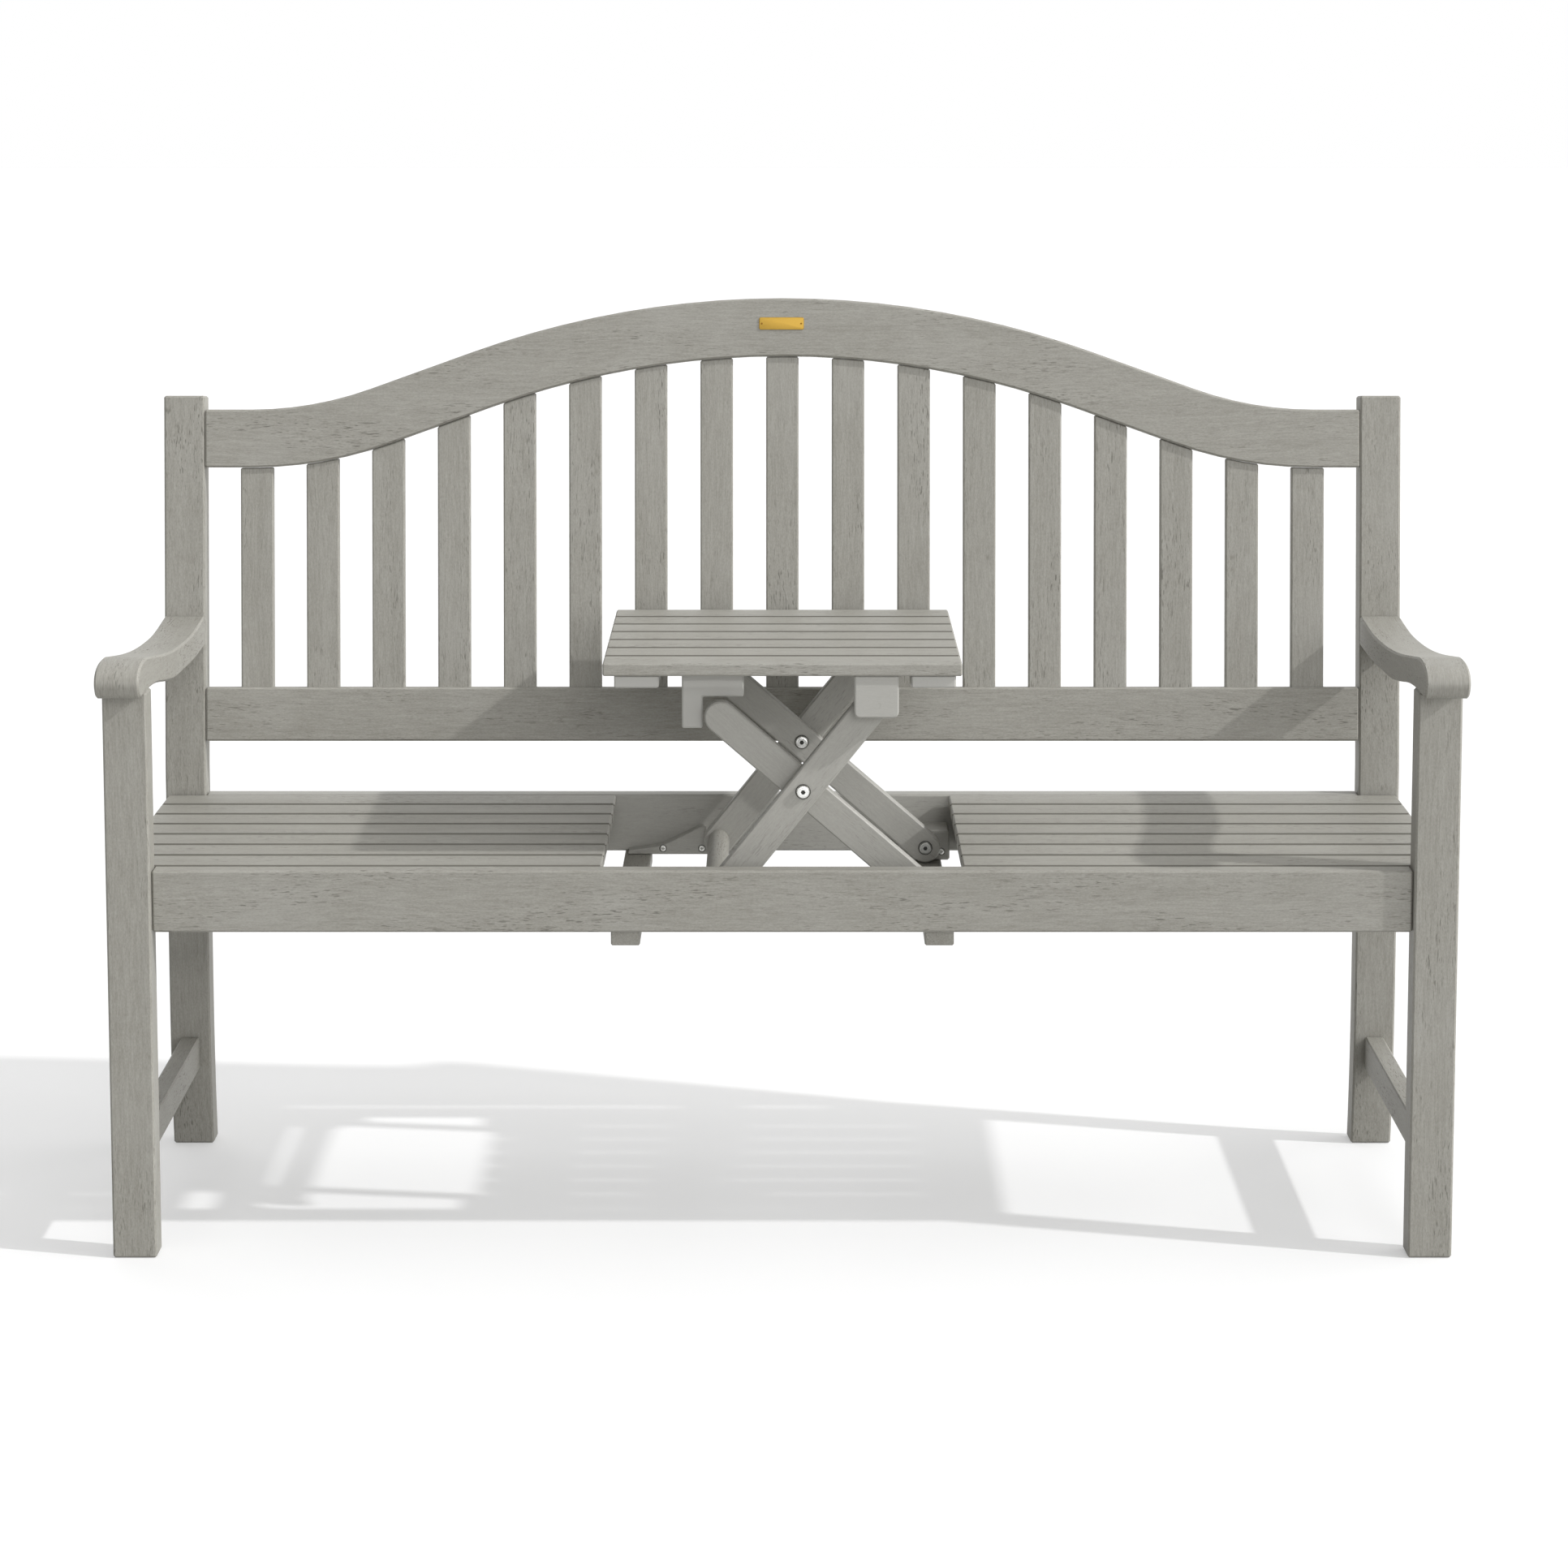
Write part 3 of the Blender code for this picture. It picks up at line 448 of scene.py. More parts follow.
def grain_group():
    """The wood's pattern for grain that runs along the group's X, in metres."""
    group = bpy.data.node_groups.get("Washed hardwood grain")
    if group:
        return group
    wood = bpy.context.scene.bench_wood
    group = bpy.data.node_groups.new("Washed hardwood grain", "ShaderNodeTree")
    group.interface.new_socket("Vector", in_out="INPUT", socket_type="NodeSocketVector")
    group.interface.new_socket("Color", in_out="OUTPUT", socket_type="NodeSocketColor")
    group.interface.new_socket("Roughness", in_out="OUTPUT", socket_type="NodeSocketFloat")
    group.interface.new_socket("Height", in_out="OUTPUT", socket_type="NodeSocketFloat")
    start = node(group, "NodeGroupInput")
    end = node(group, "NodeGroupOutput")

    wander = node(group, "ShaderNodeTexNoise", Scale=WANDER_PER_METRE, Detail=2.0)
    link(group, start.outputs["Vector"], wander.inputs["Vector"])
    shift = node(group, "ShaderNodeVectorMath", operation="MULTIPLY_ADD")
    shift.inputs[1].default_value = (0, WANDER, WANDER)
    link(group, wander.outputs["Color"], shift.inputs[0])
    link(group, start.outputs["Vector"], shift.inputs[2])
    grain = shift.outputs["Vector"]

    streaks = stretched_noise(group, grain, along=2.0, across=62, detail=4.0, roughness=0.6)
    fibres = stretched_noise(group, grain, along=34, across=420, detail=3.0, roughness=0.65)
    specks = stretched_noise(group, grain, along=330, across=760, detail=2.0, roughness=0.6)
    crowding = stretched_noise(group, grain, along=5.0, across=26, detail=3.0, roughness=0.6)
    clusters = band(group, crowding, low=0.44, high=0.66)
    pores = stretched_noise(group, grain, along=84, across=740, detail=1.5, roughness=0.55)
    open_pores = band(group, pores, low=0.57, high=0.69)
    mottle = node(group, "ShaderNodeTexNoise", Scale=9.0, Detail=4.0, Roughness=0.6)
    link(group, start.outputs["Vector"], mottle.inputs["Vector"])
    patches = band(group, mottle.outputs["Fac"], low=0.45, high=0.75)

    # The share of light grain is one half, and each layer's noise takes it up or down by its own share.
    lifted = 0.5
    for layer, share in ((streaks, 0.60), (fibres, 1.35), (specks, 1.15)):
        part = math_node(group, "MULTIPLY_ADD", layer, share, -share / 2)
        lifted = math_node(group, "ADD", lifted, part)
    colour = mix_colour(group, lifted, tuple(wood.dark), tuple(wood.light))
    patch_wash = math_node(group, "MULTIPLY", patches, PATCH_WASH)
    colour = mix_colour(group, patch_wash, colour, tuple(wood.wash))
    density = math_node(group, "MULTIPLY_ADD", clusters, 1 - SPARSE_PORES, SPARSE_PORES)
    pore_amount = math_node(group, "MULTIPLY", open_pores, density)
    strength = math_node(group, "MULTIPLY", pore_amount, wood.pore_strength)
    colour = mix_colour(group, strength, colour, tuple(wood.pore))
    link(group, colour, end.inputs["Color"])

    smoothest = wood.roughness - FIBRE_ROUGHNESS / 2
    fibre_roughness = math_node(group, "MULTIPLY_ADD", fibres, FIBRE_ROUGHNESS, smoothest)
    pore_roughness = math_node(group, "MULTIPLY", pore_amount, PORE_ROUGHNESS)
    link(group, math_node(group, "ADD", fibre_roughness, pore_roughness), end.inputs["Roughness"])
    fibre_relief = math_node(group, "MULTIPLY", fibres, FIBRE_RELIEF)
    link(group, math_node(group, "SUBTRACT", fibre_relief, pore_amount), end.inputs["Height"])
    return group


def painted_gap_shade(tree, colour):
    """Paints shade into the gaps between slats: darkens the long edges of a slat that runs across the bench,
    the faces that look along Y.
    """
    wood = bpy.context.scene.bench_wood
    edge = band(tree, facing(tree, "Y"), low=0.55, high=0.68)
    return mix_colour(tree, edge, colour, tuple(wood.stain))


def wood_shader(tree, vector, edges_stained=False, washed=0.0):
    """Joins the pattern on a coordinate to the shader.

    How far the colour is mixed toward the pale wash, from 0 to 1: partly a paler wash that the board kept,
    and partly painted light that lifts boards which sit in shade.
    """
    wood = bpy.context.scene.bench_wood
    pattern = node(tree, "ShaderNodeGroup", node_tree=grain_group())
    link(tree, vector, pattern.inputs["Vector"])
    shader = tree.nodes["Principled BSDF"]
    shader.inputs["Specular IOR Level"].default_value = wood.sheen
    bump = node(tree, "ShaderNodeBump", Strength=wood.relief_strength, Distance=wood.relief)
    link(tree, pattern.outputs["Height"], bump.inputs["Height"])
    colour = pattern.outputs["Color"]
    # Painted light, in part: mixing toward the pale wash lifts boards that sit in shade.
    if washed:
        colour = mix_colour(tree, washed, colour, tuple(wood.wash))
    # Slats with painted gap shade get it on their edges that look along Y.
    link(tree, painted_gap_shade(tree, colour) if edges_stained else colour, shader.inputs["Base Color"])
    link(tree, pattern.outputs["Roughness"], shader.inputs["Roughness"])
    link(tree, bump.outputs["Normal"], shader.inputs["Normal"])


def new_material(name):
    made = bpy.data.materials.new(name)
    made.use_nodes = True
    return made


def over_the_bend(tree, rise):
    """The pattern's scale: its height slowed on top and over the nose, and as it is on a board's sides."""
    side = band(tree, facing(tree, "X"), low=0.55, high=0.75)
    height = math_node(tree, "MULTIPLY_ADD", side, 1.0 - rise, rise)
    scale = node(tree, "ShaderNodeCombineXYZ", X=1.0, Y=1.0)
    link(tree, height, scale.inputs["Z"])
    return scale.outputs["Vector"]


def board_wood(name, grain, number, edges_stained=False, washed=0.0, rise=1.0):
    """A board's own piece of the wood: grain along a direction, and a part of the pattern that only it has.

    A rise below 1 slows the pattern's change with height, so that the grain follows a board over its bend.
    """
    made = new_material(name)
    tree = made.node_tree
    coords = node(tree, "ShaderNodeTexCoord")
    mapping = node(tree, "ShaderNodeMapping", vector_type="POINT")
    if rise < 1:
        link(tree, over_the_bend(tree, rise), mapping.inputs["Scale"])
    mapping.inputs["Rotation"].default_value = grain.rotation_difference(ACROSS).to_euler()
    along, across, up = (step * number for step in BOARD_STEP)
    mapping.inputs["Location"].default_value = (along, across % BOARD_STEP_WIDTH, up % BOARD_STEP_HEIGHT)
    link(tree, coords.outputs["Object"], mapping.inputs["Vector"])
    wood_shader(tree, mapping.outputs["Vector"], edges_stained, washed)
    return made


def back_panel_wood(rail_top):
    """Grain along the lower rail and up each slat, and a fresh piece of the pattern on every slat."""
    made = new_material("Lower back rail and slats")
    tree = made.node_tree
    coords = node(tree, "ShaderNodeTexCoord")
    height = node(tree, "ShaderNodeVectorMath", operation="DOT_PRODUCT")
    height.inputs[1].default_value = UP_THE_LEAN
    link(tree, coords.outputs["Object"], height.inputs[0])
    on_slats = math_node(tree, "GREATER_THAN", height.outputs["Value"], rail_top)

    split = node(tree, "ShaderNodeSeparateXYZ")
    link(tree, coords.outputs["Object"], split.inputs["Vector"])
    slat = math_node(tree, "ROUND", math_node(tree, "DIVIDE", split.outputs["X"], BACK_SLAT_PITCH))
    shift = node(tree, "ShaderNodeCombineXYZ")
    for axis, step in zip("XY", BACK_SLAT_STEP):
        link(tree, math_node(tree, "MULTIPLY", slat, step), shift.inputs[axis])

    upright = node(tree, "ShaderNodeMapping")
    upright.inputs["Rotation"].default_value = UP_THE_LEAN.rotation_difference(ACROSS).to_euler()
    link(tree, coords.outputs["Object"], upright.inputs["Vector"])
    slat_place = node(tree, "ShaderNodeVectorMath", operation="ADD")
    link(tree, upright.outputs["Vector"], slat_place.inputs[0])
    link(tree, shift.outputs["Vector"], slat_place.inputs[1])

    choice = node(tree, "ShaderNodeMix", data_type="VECTOR")
    link(tree, on_slats, choice.inputs["Factor"])
    link(tree, coords.outputs["Object"], choice.inputs[4])
    link(tree, slat_place.outputs["Vector"], choice.inputs[5])
    wood_shader(tree, choice.outputs[1])
    return made


def soften(board):
    """Joins the board's loose triangles, and shades its curves smooth and its eased edges crisp."""
    for face in board.data.polygons:
        face.use_smooth = True
    join = board.modifiers.new("Join", "WELD")
    join.merge_threshold = SAME_BOARD_POINT
    crisp = board.modifiers.new("Crisp edges", "EDGE_SPLIT")
    crisp.split_angle = CRISP_ANGLE


def give(board, material):
    board.data.materials.clear()
    board.data.materials.append(material)


def finish_boards(names, grain, first, **finish_and_painted_light):
    """Gives each board its own wood, with the grain along it, and the finish, painted light and painted shade
    that board_wood takes.

    The boards are numbered on from the first, so that no two have the same part of the pattern.
    """
    for number, name in enumerate(names, first):
        board = NODES[name]
        give(board, board_wood(f"Washed wood {name}", grain, number, **finish_and_painted_light))
        soften(board)


def sides(stem):
    return [f"{stem}_left", f"{stem}_right"]


def ends(stem):
    return [f"{stem}_front", f"{stem}_rear"]


class BENCH_OT_legs(bpy.types.Operator):
    """Finishes the legs, whose grain runs up, and the stretchers between them"""

    bl_idname = "bench.legs"
    bl_label = "Legs and Stretchers"

    def execute(self, context):
        finish_boards(sides("front_leg"), UP, first=1)
        finish_boards(sides("back_leg"), UP, first=4)
        finish_boards(sides("side_stretcher"), DEPTH, first=7)
        return {"FINISHED"}


class BENCH_OT_armrests(bpy.types.Operator):
    """Finishes the armrests, whose grain runs from front to back"""

    bl_idname = "bench.armrests"
    bl_label = "Armrests"

    def execute(self, context):
        finish_boards(sides("armrest"), DEPTH, first=11, rise=0.12)
        return {"FINISHED"}


class BENCH_OT_seat_frame(bpy.types.Operator):
    """Finishes the rails, bearers and cross battens that carry the slats"""

    bl_idname = "bench.seat_frame"
    bl_label = "Seat Frame"

    def execute(self, context):
        finish_boards(["front_seat_rail"], ACROSS, first=15)
        # Painted light, in part: the rear seat rail sits in shade inside the seat, and its extra wash lifts
        # it.
        finish_boards(["rear_seat_rail"], ACROSS, first=16, washed=0.45)
        finish_boards(sides("side_seat_rail") + sides("seat_bearer") + sides("cross_batten"), DEPTH, first=19)
        return {"FINISHED"}


class BENCH_OT_seat_slats(bpy.types.Operator):
    """Finishes the slats on both sides of the table"""

    bl_idname = "bench.seat_slats"
    bl_label = "Seat Slats"

    def execute(self, context):
        for side, first in (("left", 31), ("right", 41)):
            slats = sorted(name for name in NODES if name.startswith(f"seat_slat_{side}"))
            # The seat's slats get painted shade on their edges in the gaps between them.
            finish_boards(slats, ACROSS, first, edges_stained=True)
        return {"FINISHED"}


class BENCH_OT_back(bpy.types.Operator):
    """Finishes the arched crest rail, the lower rail and the slats between them"""

    bl_idname = "bench.back"
    bl_label = "Back"

    def execute(self, context):
        finish_boards(["crest_rail"], ACROSS, first=52)
        panel = NODES["back_panel"]
        give(panel, back_panel_wood(self.rail_top(panel)))
        soften(panel)
        return {"FINISHED"}

    @staticmethod
    def rail_top(panel):
        """How far up the lean the rail ends: just over the points of its end, where no slat stands."""
        end_length = 0.01
        margin = 0.0002
        reach = max(vertex.co.x for vertex in panel.data.vertices)
        end = [vertex.co for vertex in panel.data.vertices if vertex.co.x > reach - end_length]
        return max(point.dot(UP_THE_LEAN) for point in end) + margin


class BENCH_OT_scissor(bpy.types.Operator):
    """Finishes the scissor's arms, crossbar, base blocks and cleats"""

    bl_idname = "bench.scissor"
    bl_label = "Scissor"

    def execute(self, context):
        # Painted light, in part: the arms, base blocks and cleats sit in shade under the table, and their
        # extra wash lifts them.
        finish_boards(ends("inner_arm"), INNER_ARM_LINE.normalized(), first=61, washed=0.45)
        finish_boards(ends("outer_arm"), OUTER_ARM_LINE.normalized(), first=65, washed=0.45)
        finish_boards(["arm_crossbar"], DEPTH, first=69)
        finish_boards(ends("base_block") + ends("cleat"), ACROSS, first=71, washed=0.5)
        return {"FINISHED"}


class BENCH_OT_table(bpy.types.Operator):
    """Finishes the table's slats, battens, pivot blocks and rests"""

    bl_idname = "bench.table"
    bl_label = "Table"

    def execute(self, context):
        slats = sorted(name for name in NODES if name.startswith("table_slat"))
        finish_boards(slats[:1], ACROSS, first=81)
        # The table's slats behind the first get painted shade on their edges in the gaps between them.
        finish_boards(slats[1:], ACROSS, first=82, edges_stained=True)
        # Painted light, in part: the battens, pivot blocks and rests sit in shade under the table's top, and
        # their extra wash lifts them.
        finish_boards(sides("table_batten"), DEPTH, first=91, washed=1.0)
        finish_boards(ends("table_block"), ACROSS, first=94, washed=0.7)
        finish_boards(ends("table_rest"), ACROSS, first=96, washed=1.0)
        return {"FINISHED"}


def metal(name, metallic, grain, uneven):
    """A metal from the list, whose tone and roughness follow a grain: uneven is how much rougher it gets."""
    dark, light, roughness = METALS[name]
    made = new_material(name)
    tree = made.node_tree
    shader = tree.nodes["Principled BSDF"]
    shader.inputs["Metallic"].default_value = metallic
    coords = node(tree, "ShaderNodeTexCoord")
    amount = grain(tree, coords.outputs["Object"])
    link(tree, mix_colour(tree, amount, dark, light), shader.inputs["Base Color"])
    link(tree, math_node(tree, "MULTIPLY_ADD", amount, uneven, roughness), shader.inputs["Roughness"])
    return made


def speckle(tree, vector):
    """The fine unevenness of turned metal."""
    noise = node(tree, "ShaderNodeTexNoise", Scale=900.0, Detail=3.0)
    link(tree, vector, noise.inputs["Vector"])
    return noise.outputs["Fac"]


def brushing(tree, vector):
    """Fine lines along a sheet."""
    return stretched_noise(tree, vector, along=120, across=2600, detail=3.0)


def turned_metal(name):
    return metal(name, metallic=1.0, grain=speckle, uneven=0.2)


def brass_sheet():
    """Lacquered brass sheet, brushed along its length."""
    return metal("Brushed brass", metallic=0.85, grain=brushing, uneven=0.22)


def mesh_piece(name, bm, materials, body):
    """Makes the mesh a piece of its own that rides on a body; its place is in its mesh."""
    bmesh.ops.remove_doubles(bm, verts=bm.verts, dist=SAME_POINT)
    bmesh.ops.recalc_face_normals(bm, faces=bm.faces)
    mesh = bpy.data.meshes.new(name)
    bm.to_mesh(mesh)
    bm.free()
    for material in materials:
        mesh.materials.append(material)
    mesh.shade_smooth()
    mesh.set_sharp_from_angle(angle=SMOOTH_ANGLE)
    piece = bpy.data.objects.new(name, mesh)
    bpy.context.scene.collection.objects.link(piece)
    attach(piece, body)
    return piece


def turned(bm, profile, steps):
    """Spins (radius, height) points about Z into a closed shape."""
    points = [bm.verts.new((radius, 0, height)) for radius, height in profile]
    edges = [bm.edges.new(pair) for pair in zip(points, points[1:])]
    outline = [*points, *edges]
    bmesh.ops.spin(bm, geom=outline, axis=UP, cent=(0, 0, 0), steps=steps, angle=math.tau, use_merge=True)
    bmesh.ops.remove_doubles(bm, verts=bm.verts, dist=SAME_POINT)


def aim(bm, place, direction):
    """Turns a piece made along +Z to face a direction, and moves it to its place."""
    turn = UP.rotation_difference(direction).to_matrix().to_4x4()
    bmesh.ops.transform(bm, matrix=Matrix.Translation(place) @ turn, verts=bm.verts)


def cut_recess(bm, outline, floor_z, material_index):
    """Sinks the flat top face of the spun head inside an outline of (x, y) points down to a floor."""
    level = 1e-6
    off_axis = 1e-5
    top_z = max(vert.co.z for vert in bm.verts)
    top = {vert for vert in bm.verts if abs(vert.co.z - top_z) < level}
    rim = {vert for vert in top if vert.co.xy.length > off_axis}
    caps = [face for face in bm.faces if all(vert in top for vert in face.verts)]
    bmesh.ops.delete(bm, geom=caps, context="FACES")
    rim_edges = [edge for edge in bm.edges if edge.is_boundary and all(vert in rim for vert in edge.verts)]
    corners = [bm.verts.new((x, y, top_z)) for x, y in outline]
    corner_edges = [bm.edges.new((corners[i - 1], corners[i])) for i in range(len(corners))]
    bmesh.ops.bridge_loops(bm, edges=rim_edges + corner_edges)
    walls = bmesh.ops.extrude_edge_only(bm, edges=corner_edges)["geom"]
    low = [item for item in walls if isinstance(item, bmesh.types.BMVert)]
    bmesh.ops.translate(bm, verts=low, vec=(0, 0, floor_z - top_z))
    edges = [item for item in walls if isinstance(item, bmesh.types.BMEdge)]
    floor_edges = [edge for edge in edges if all(vert in low for vert in edge.verts)]
    for face in bmesh.ops.holes_fill(bm, edges=floor_edges)["faces"]:
        face.material_index = material_index


def hexagon(across):
    """The outline of a hex socket, from its size across the flats."""
    radius = across / 2 / math.cos(math.pi / 6)
    return [(radius * math.cos(math.tau * i / 6), radius * math.sin(math.tau * i / 6)) for i in range(6)]


def cross(length, width):
    """The outline of a cross recess."""
    a, b = length / 2, width / 2
    quarter = [(a, -b), (a, b), (b, b)]
    return [
        (x * c - y * s, x * s + y * c)
        for c, s in ((1, 0), (0, 1), (-1, 0), (0, -1))
        for x, y in quarter
    ]


def pivot_bolt(name, place, direction, grip, body, materials):
    """A connector bolt in place of the plain one: broad domed head with a hex socket whose floor is painted
    dark as shade, a washer painted dark as the shade round the head, and a shank.
    """
    fittings = bpy.context.scene.bench_fittings
    head = fittings.head_diameter / 2
    washer = fittings.washer_diameter / 2
    thick = fittings.washer_thickness
    top = thick + fittings.head_height
    shank = fittings.shank_diameter / 2
    profile = [
        (0, -grip),
        (shank - SHANK_EASE, -grip),
        (shank, SHANK_EASE - grip),
        (shank, 0),
        (washer - WASHER_EASE, 0),
        (washer, WASHER_EASE),
        (washer, thick - WASHER_EASE),
        (washer - WASHER_EASE, thick),
        *((head + beyond, thick + above) for beyond, above in HEAD_RIM),
        *((head * share, top - below) for share, below in HEAD_DOME),
        (0, top),
    ]
    bm = bmesh.new()
    turned(bm, profile, steps=48)
    # Painted shade: the washer's faces take the dark material that stands for the shade round the head.
    washer_top = thick + 0.00001
    beside_shank = shank * 1.02
    for face in bm.faces:
        middle = face.calc_center_median()
        if middle.z < washer_top and middle.xy.length > beside_shank:
            face.material_index = 2
    # Painted shade: the socket's floor takes the dark material.
    cut_recess(bm, hexagon(fittings.socket_across), top - SOCKET_DEPTH, 1)
    aim(bm, place, direction)
    piece = mesh_piece(f"{name}_detailed", bm, materials, body)
    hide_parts(name)


class BENCH_OT_plugs(bpy.types.Operator):
    """Closes the bolt holes in the outer faces of the table's pivot blocks with wooden plugs"""

    bl_idname = "bench.plugs"
    bl_label = "Wooden Plugs"

    def execute(self, context):
        radius = context.scene.bench_fittings.shank_diameter / 2 + PLUG_FIT
        profile = [
            (0, -PLUG_DEPTH),
            (radius - PLUG_EASE, -PLUG_DEPTH),
            (radius, PLUG_EASE - PLUG_DEPTH),
            (radius, -PLUG_SUNK),
            (0, -PLUG_SUNK),
        ]
        for end, outwards in (("front", -DEPTH), ("rear", DEPTH)):
            block = NODES[f"table_block_{end}"]
            low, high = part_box(block.name)
            face = low.y if outwards.y < 0 else high.y
            bm = bmesh.new()
            turned(bm, profile, steps=32)
            aim(bm, Vector((TABLE_PIVOT.x, face, TABLE_PIVOT.z)), outwards)
            plug = mesh_piece(f"table_plug_{end}", bm, [block.data.materials[0]], "table")
        return {"FINISHED"}


class BENCH_OT_bolts(bpy.types.Operator):
    """Puts connector bolts with hex sockets in the places of the plain pivot bolts"""

    bl_idname = "bench.bolts"
    bl_label = "Pivot Bolts"

    def execute(self, context):
        stack = context.scene.bench_fittings.cad_head_stack
        steel = turned_metal("Bright steel")
        # Painted shade: the socket's floor is near-black.
        socket_shade = turned_metal("Socket shade painted dark")
        dull_steel = turned_metal("Dull steel")
        # Painted shade: the washer is near-black.
        washer_shade = turned_metal("Washer painted dark as shade")
        for name, body, towards in (
            ("centre_bolt_front", "inner_arms", 1),
            ("centre_bolt_rear", "inner_arms", 1),
            ("base_bolt_front", "frame", -1),
            ("base_bolt_rear", "frame", 1),
            ("table_bolt_front", "table", -1),
            ("table_bolt_rear", "table", 1),
        ):
            low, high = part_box(name)
            middle = (low + high) / 2
            seat = low.y + stack if towards > 0 else high.y - stack
            grip = high.y - low.y - stack
            place = Vector((middle.x, seat, middle.z))
            head_steel = dull_steel if name.startswith("base") else steel
            pivot_bolt(name, place, -towards * DEPTH, grip, body, [head_steel, socket_shade, washer_shade])
        return {"FINISHED"}


def wood_screw(name, place, direction, body, materials):
    """A cross-recess screw's head, a millimetre proud of the wood, in a dark edge that paints the shade of
    its countersink; the recess's floor is painted dark as shade.
    """
    radius = bpy.context.scene.bench_fittings.screw_diameter / 2
    profile = [
        (0, -SCREW_DEPTH),
        (radius * SCREW_TIP, -SCREW_DEPTH),
        (radius, -SCREW_SEAT),
        (radius + COUNTERSINK, 0),
        (radius + COUNTERSINK, COUNTERSINK_PROUD),
        (radius + COUNTERSINK_GAP, COUNTERSINK_PROUD),
        *((radius * share, height) for share, height in SCREW_HEAD),
    ]
    bm = bmesh.new()
    turned(bm, profile, steps=32)
    # Painted shade: the edge round the head and the recess's floor take the dark material.
    for face in bm.faces:
        middle = face.calc_center_median()
        if middle.xy.length > radius and middle.z < 2 * COUNTERSINK_PROUD:
            face.material_index = 1
    cut_recess(bm, cross(radius * RECESS_LENGTH, radius * RECESS_WIDTH), -RECESS_DEPTH, 1)
    aim(bm, place, direction)
    piece = mesh_piece(name, bm, materials, body)


class BENCH_OT_screws(bpy.types.Operator):
    """Drives the screws that hold the cleats and the base blocks to the rails"""

    bl_idname = "bench.screws"
    bl_label = "Wood Screws"

    def execute(self, context):
        # The second material is painted shade, for the countersink's edge and the recess.
        materials = [turned_metal("Screw steel"), turned_metal("Screw shade painted dark")]
        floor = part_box("cleat_rear")[0].z
        for end, inwards in (("front", DEPTH), ("rear", -DEPTH)):
            cleat = f"cleat_{end}"
            z = floor + CLEAT_SCREW_RISE
            for number, x in enumerate(context.scene.bench_fittings.cleat_screws, 1):
                self.drive(f"cleat_screw_{end}_{number}", cleat, x, z, inwards, materials)
            block = f"base_block_{end}"
            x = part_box(block)[1].x - BLOCK_SCREW_INSET
            self.drive(f"base_block_screw_{end}", block, x, floor + BLOCK_SCREW_RISE, inwards, materials)
        return {"FINISHED"}

    @staticmethod
    def drive(name, board, x, z, inwards, materials):
        low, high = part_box(board)
        face = high.y if inwards.y > 0 else low.y
        wood_screw(name, Vector((x, face, z)), inwards, "frame", materials)


class BENCH_OT_plate(bpy.types.Operator):
    """Pins the small bare brass plate to the middle of the crest rail"""

    bl_idname = "bench.plate"
    bl_label = "Brass Plate"

    def execute(self, context):
        fittings = context.scene.bench_fittings
        crest = NODES["crest_rail"]
        points = [crest.matrix_world @ vertex.co for vertex in crest.data.vertices]
        near_middle = 0.02
        top = max((point for point in points if abs(point.x) < near_middle), key=lambda point: point.z)
        face = max(point.dot(OUT_OF_THE_LEAN) for point in points)
        up_place = top.dot(UP_THE_LEAN) - fittings.plate_below_top
        middle = OUT_OF_THE_LEAN * face + UP_THE_LEAN * up_place + ACROSS * fittings.plate_middle
        turn = Matrix((ACROSS, UP_THE_LEAN, OUT_OF_THE_LEAN)).transposed().to_4x4()
        place = Matrix.Translation(middle) @ turn
        self.sheet(fittings, place, brass_sheet())
        self.pins(fittings, place, turned_metal("Brass pins"))
        return {"FINISHED"}

    @staticmethod
    def sheet(fittings, place, brass):
        """A thin plate with round corners and an eased front edge."""
        half_width = fittings.plate_width / 2
        half_height = fittings.plate_height / 2
        radius = PLATE_CORNER
        outline = []
        for quarter, (x, y) in enumerate(((1, 1), (-1, 1), (-1, -1), (1, -1))):
            centre = (x * (half_width - radius), y * (half_height - radius))
            for step in range(PLATE_CORNER_STEPS + 1):
                angle = math.pi / 2 * (quarter + step / PLATE_CORNER_STEPS)
                outline.append((centre[0] + radius * math.cos(angle), centre[1] + radius * math.sin(angle)))
        bm = bmesh.new()
        face = bm.faces.new([bm.verts.new((x, y, 0)) for x, y in outline])
        made = bmesh.ops.extrude_face_region(bm, geom=[face])["geom"]
        top = [item for item in made if isinstance(item, bmesh.types.BMVert)]
        bmesh.ops.translate(bm, verts=top, vec=(0, 0, PLATE_THICKNESS))
        rim = [edge for edge in bm.edges if all(vert in top for vert in edge.verts)]
        bmesh.ops.bevel(bm, geom=rim, offset=PLATE_EASE, segments=3, profile=0.5, material=-1, affect="EDGES")
        bmesh.ops.transform(bm, matrix=place, verts=bm.verts)
        mesh_piece("brass_plate", bm, [brass], "frame")

    @staticmethod
    def pins(fittings, place, brass):
        """A round-headed pin near each end of the plate."""
        for name, side in (("left", -1), ("right", 1)):
            bm = bmesh.new()
            turned(bm, PIN_PROFILE, steps=24)
            bmesh.ops.translate(bm, verts=bm.verts, vec=(side * (fittings.plate_width / 2 - PIN_INSET), 0, 0))
            bmesh.ops.transform(bm, matrix=place, verts=bm.verts)
            mesh_piece(f"brass_pin_{name}", bm, [brass], "frame")


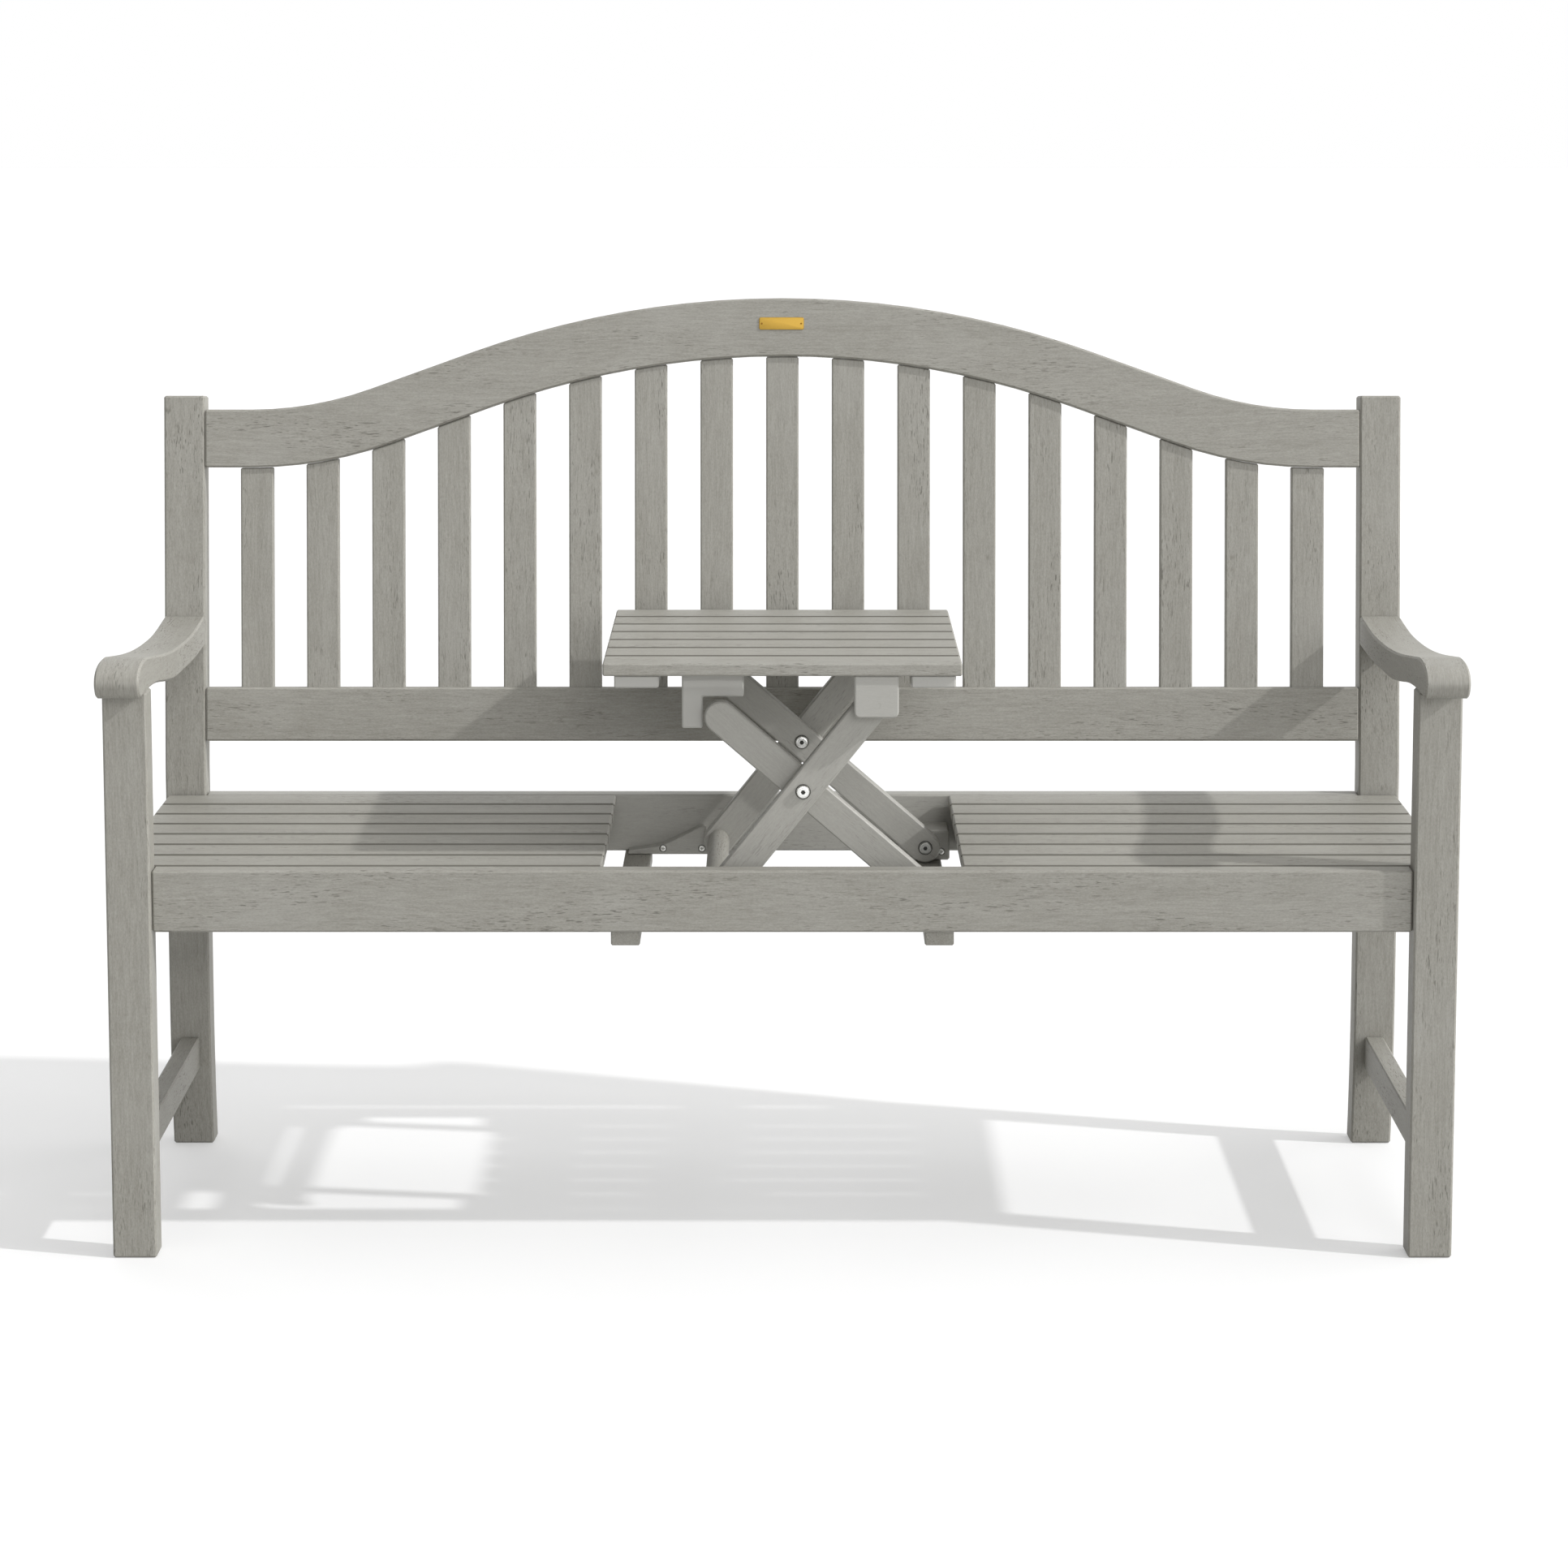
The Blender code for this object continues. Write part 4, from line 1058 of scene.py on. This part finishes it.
class BENCH_OT_stage(bpy.types.Operator):
    """Sets the camera, the lights, the pale floor and the white surround"""

    bl_idname = "bench.stage"
    bl_label = "Stage"

    def execute(self, context):
        stage = context.scene.bench_stage
        self.camera(context, stage)
        self.lights(context, stage)
        self.floor(context)
        self.surround(context, stage)
        context.scene.view_settings.view_transform = "Standard"
        return {"FINISHED"}

    @staticmethod
    def camera(context, stage):
        """Straight in front and a little above, aimed down at the seat."""
        data = bpy.data.cameras.new("Camera")
        data.lens = stage.lens
        data.sensor_width = SENSOR_WIDTH
        data.shift_x, data.shift_y = CAMERA_SHIFT
        data.clip_end = CAMERA_REACH
        camera = bpy.data.objects.new("Camera", data)
        context.scene.collection.objects.link(camera)
        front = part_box("front_leg_left")[0].y
        camera.location = (0, front - stage.camera_distance, stage.camera_height)
        camera.rotation_euler = Euler((math.pi / 2 - stage.camera_pitch, 0, 0))
        context.scene.camera = camera

    @staticmethod
    def lights(context, stage):
        """A hard key from the upper right, a small light in front, and softboxes on three sides and above.

        Each has its energy, its spread in degrees and the direction that it comes from.
        """
        for name, energy, spread, source in (
            ("Key", stage.key_energy, 1.6, (0.77, -0.22, 0.60)),
            ("Side softbox", stage.side_energy, 80.0, (0.97, 0.04, 0.25)),
            ("Front", stage.front_energy, 5.0, (0.14, -0.94, 0.31)),
            ("Front softbox", stage.front_soft_energy, 36.0, (0.24, -0.95, 0.19)),
            ("Rear softbox", stage.rear_energy, 80.0, (-0.10, 0.94, 0.32)),
            ("Overhead softbox", stage.overhead_energy, 70.0, (0.0, 0.0, 1.0)),
        ):
            data = bpy.data.lights.new(name, "SUN")
            data.energy = energy
            data.angle = math.radians(spread)
            light = bpy.data.objects.new(name, data)
            context.scene.collection.objects.link(light)
            light.rotation_euler = (-Vector(source)).to_track_quat("-Z", "Y").to_euler()
            # The rear light only fills the back: it leaves no glare on the seat.
            light.visible_glossy = name != "Rear softbox"

    @staticmethod
    def floor(context):
        """White paper to the camera, and a grey that throws less light back for everything else."""
        bm = bmesh.new()
        bmesh.ops.create_grid(bm, x_segments=1, y_segments=1, size=FLOOR_HALF_SIZE)
        bmesh.ops.translate(bm, verts=bm.verts, vec=(0, 0, -FLOOR_DROP))
        mesh = bpy.data.meshes.new("Floor")
        bm.to_mesh(mesh)
        bm.free()
        floor = bpy.data.objects.new("Floor", mesh)
        context.scene.collection.objects.link(floor)
        material = new_material("Pale floor")
        tree = material.node_tree
        tree.nodes.clear()
        paper = node(tree, "ShaderNodeBsdfDiffuse", Color=FLOOR_PAPER)
        lift = node(tree, "ShaderNodeEmission", Color=WHITE, Strength=1.0)
        studio = node(tree, "ShaderNodeMixShader", Fac=FLOOR_LIFT)
        bounce = node(tree, "ShaderNodeBsdfDiffuse", Color=FLOOR_BOUNCE)
        choice = node(tree, "ShaderNodeMixShader")
        output = node(tree, "ShaderNodeOutputMaterial")
        link(tree, paper.outputs["BSDF"], studio.inputs[1])
        link(tree, lift.outputs["Emission"], studio.inputs[2])
        link(tree, shown(tree), choice.inputs["Fac"])
        link(tree, bounce.outputs["BSDF"], choice.inputs[1])
        link(tree, studio.outputs["Shader"], choice.inputs[2])
        link(tree, choice.outputs["Shader"], output.inputs["Surface"])
        mesh.materials.append(material)

    @staticmethod
    def surround(context, stage):
        """White where the camera, metal or glass sees it, and else a fill that is brighter in front."""
        world = bpy.data.worlds.new("Surround")
        context.scene.world = world
        world.use_nodes = True
        tree = world.node_tree
        tree.nodes.clear()
        coords = node(tree, "ShaderNodeTexCoord")
        frontness = node(tree, "ShaderNodeVectorMath", operation="DOT_PRODUCT")
        frontness.inputs[1].default_value = FRONT_FILL_SIDE
        link(tree, coords.outputs["Generated"], frontness.inputs[0])
        strength = math_node(tree, "MULTIPLY_ADD", frontness.outputs["Value"], stage.front_fill, stage.fill)
        fill = node(tree, "ShaderNodeBackground", Color=WHITE)
        link(tree, math_node(tree, "MAXIMUM", strength, 0.0), fill.inputs["Strength"])
        white = node(tree, "ShaderNodeBackground", Color=WHITE, Strength=1.0)
        choice = node(tree, "ShaderNodeMixShader")
        output = node(tree, "ShaderNodeOutputWorld")
        link(tree, shown(tree), choice.inputs["Fac"])
        link(tree, fill.outputs["Background"], choice.inputs[1])
        link(tree, white.outputs["Background"], choice.inputs[2])
        link(tree, choice.outputs["Shader"], output.inputs["Surface"])


OPERATORS = (
    BENCH_OT_legs,
    BENCH_OT_armrests,
    BENCH_OT_seat_frame,
    BENCH_OT_seat_slats,
    BENCH_OT_back,
    BENCH_OT_scissor,
    BENCH_OT_table,
    BENCH_OT_plugs,
    BENCH_OT_bolts,
    BENCH_OT_screws,
    BENCH_OT_plate,
    BENCH_OT_stage,
)


class BENCH_PT_panel(bpy.types.Panel):
    """Lists the bench's pieces"""

    bl_idname = "BENCH_PT_panel"
    bl_label = "Bench"
    bl_space_type = "VIEW_3D"
    bl_region_type = "UI"
    bl_category = "Bench"

    def draw(self, context):
        for operator in OPERATORS:
            self.layout.operator(operator.bl_idname)
        for name, group in SETTINGS:
            box = self.layout.box()
            for prop in group.bl_rna.properties:
                if prop.identifier in group.__annotations__:
                    box.prop(getattr(context.scene, name), prop.identifier)


CLASSES = (*(group for _, group in SETTINGS), *OPERATORS, BENCH_PT_panel)


def register():
    for cls in CLASSES:
        bpy.utils.register_class(cls)
    for name, group in SETTINGS:
        setattr(bpy.types.Scene, name, PointerProperty(type=group))


def unregister():
    for name, _ in SETTINGS:
        delattr(bpy.types.Scene, name)
    for cls in reversed(CLASSES):
        bpy.utils.unregister_class(cls)


def main():
    register()
    for operator in OPERATORS:
        category, name = operator.bl_idname.split(".")
        getattr(getattr(bpy.ops, category), name)()


if __name__ == "__main__":
    main()
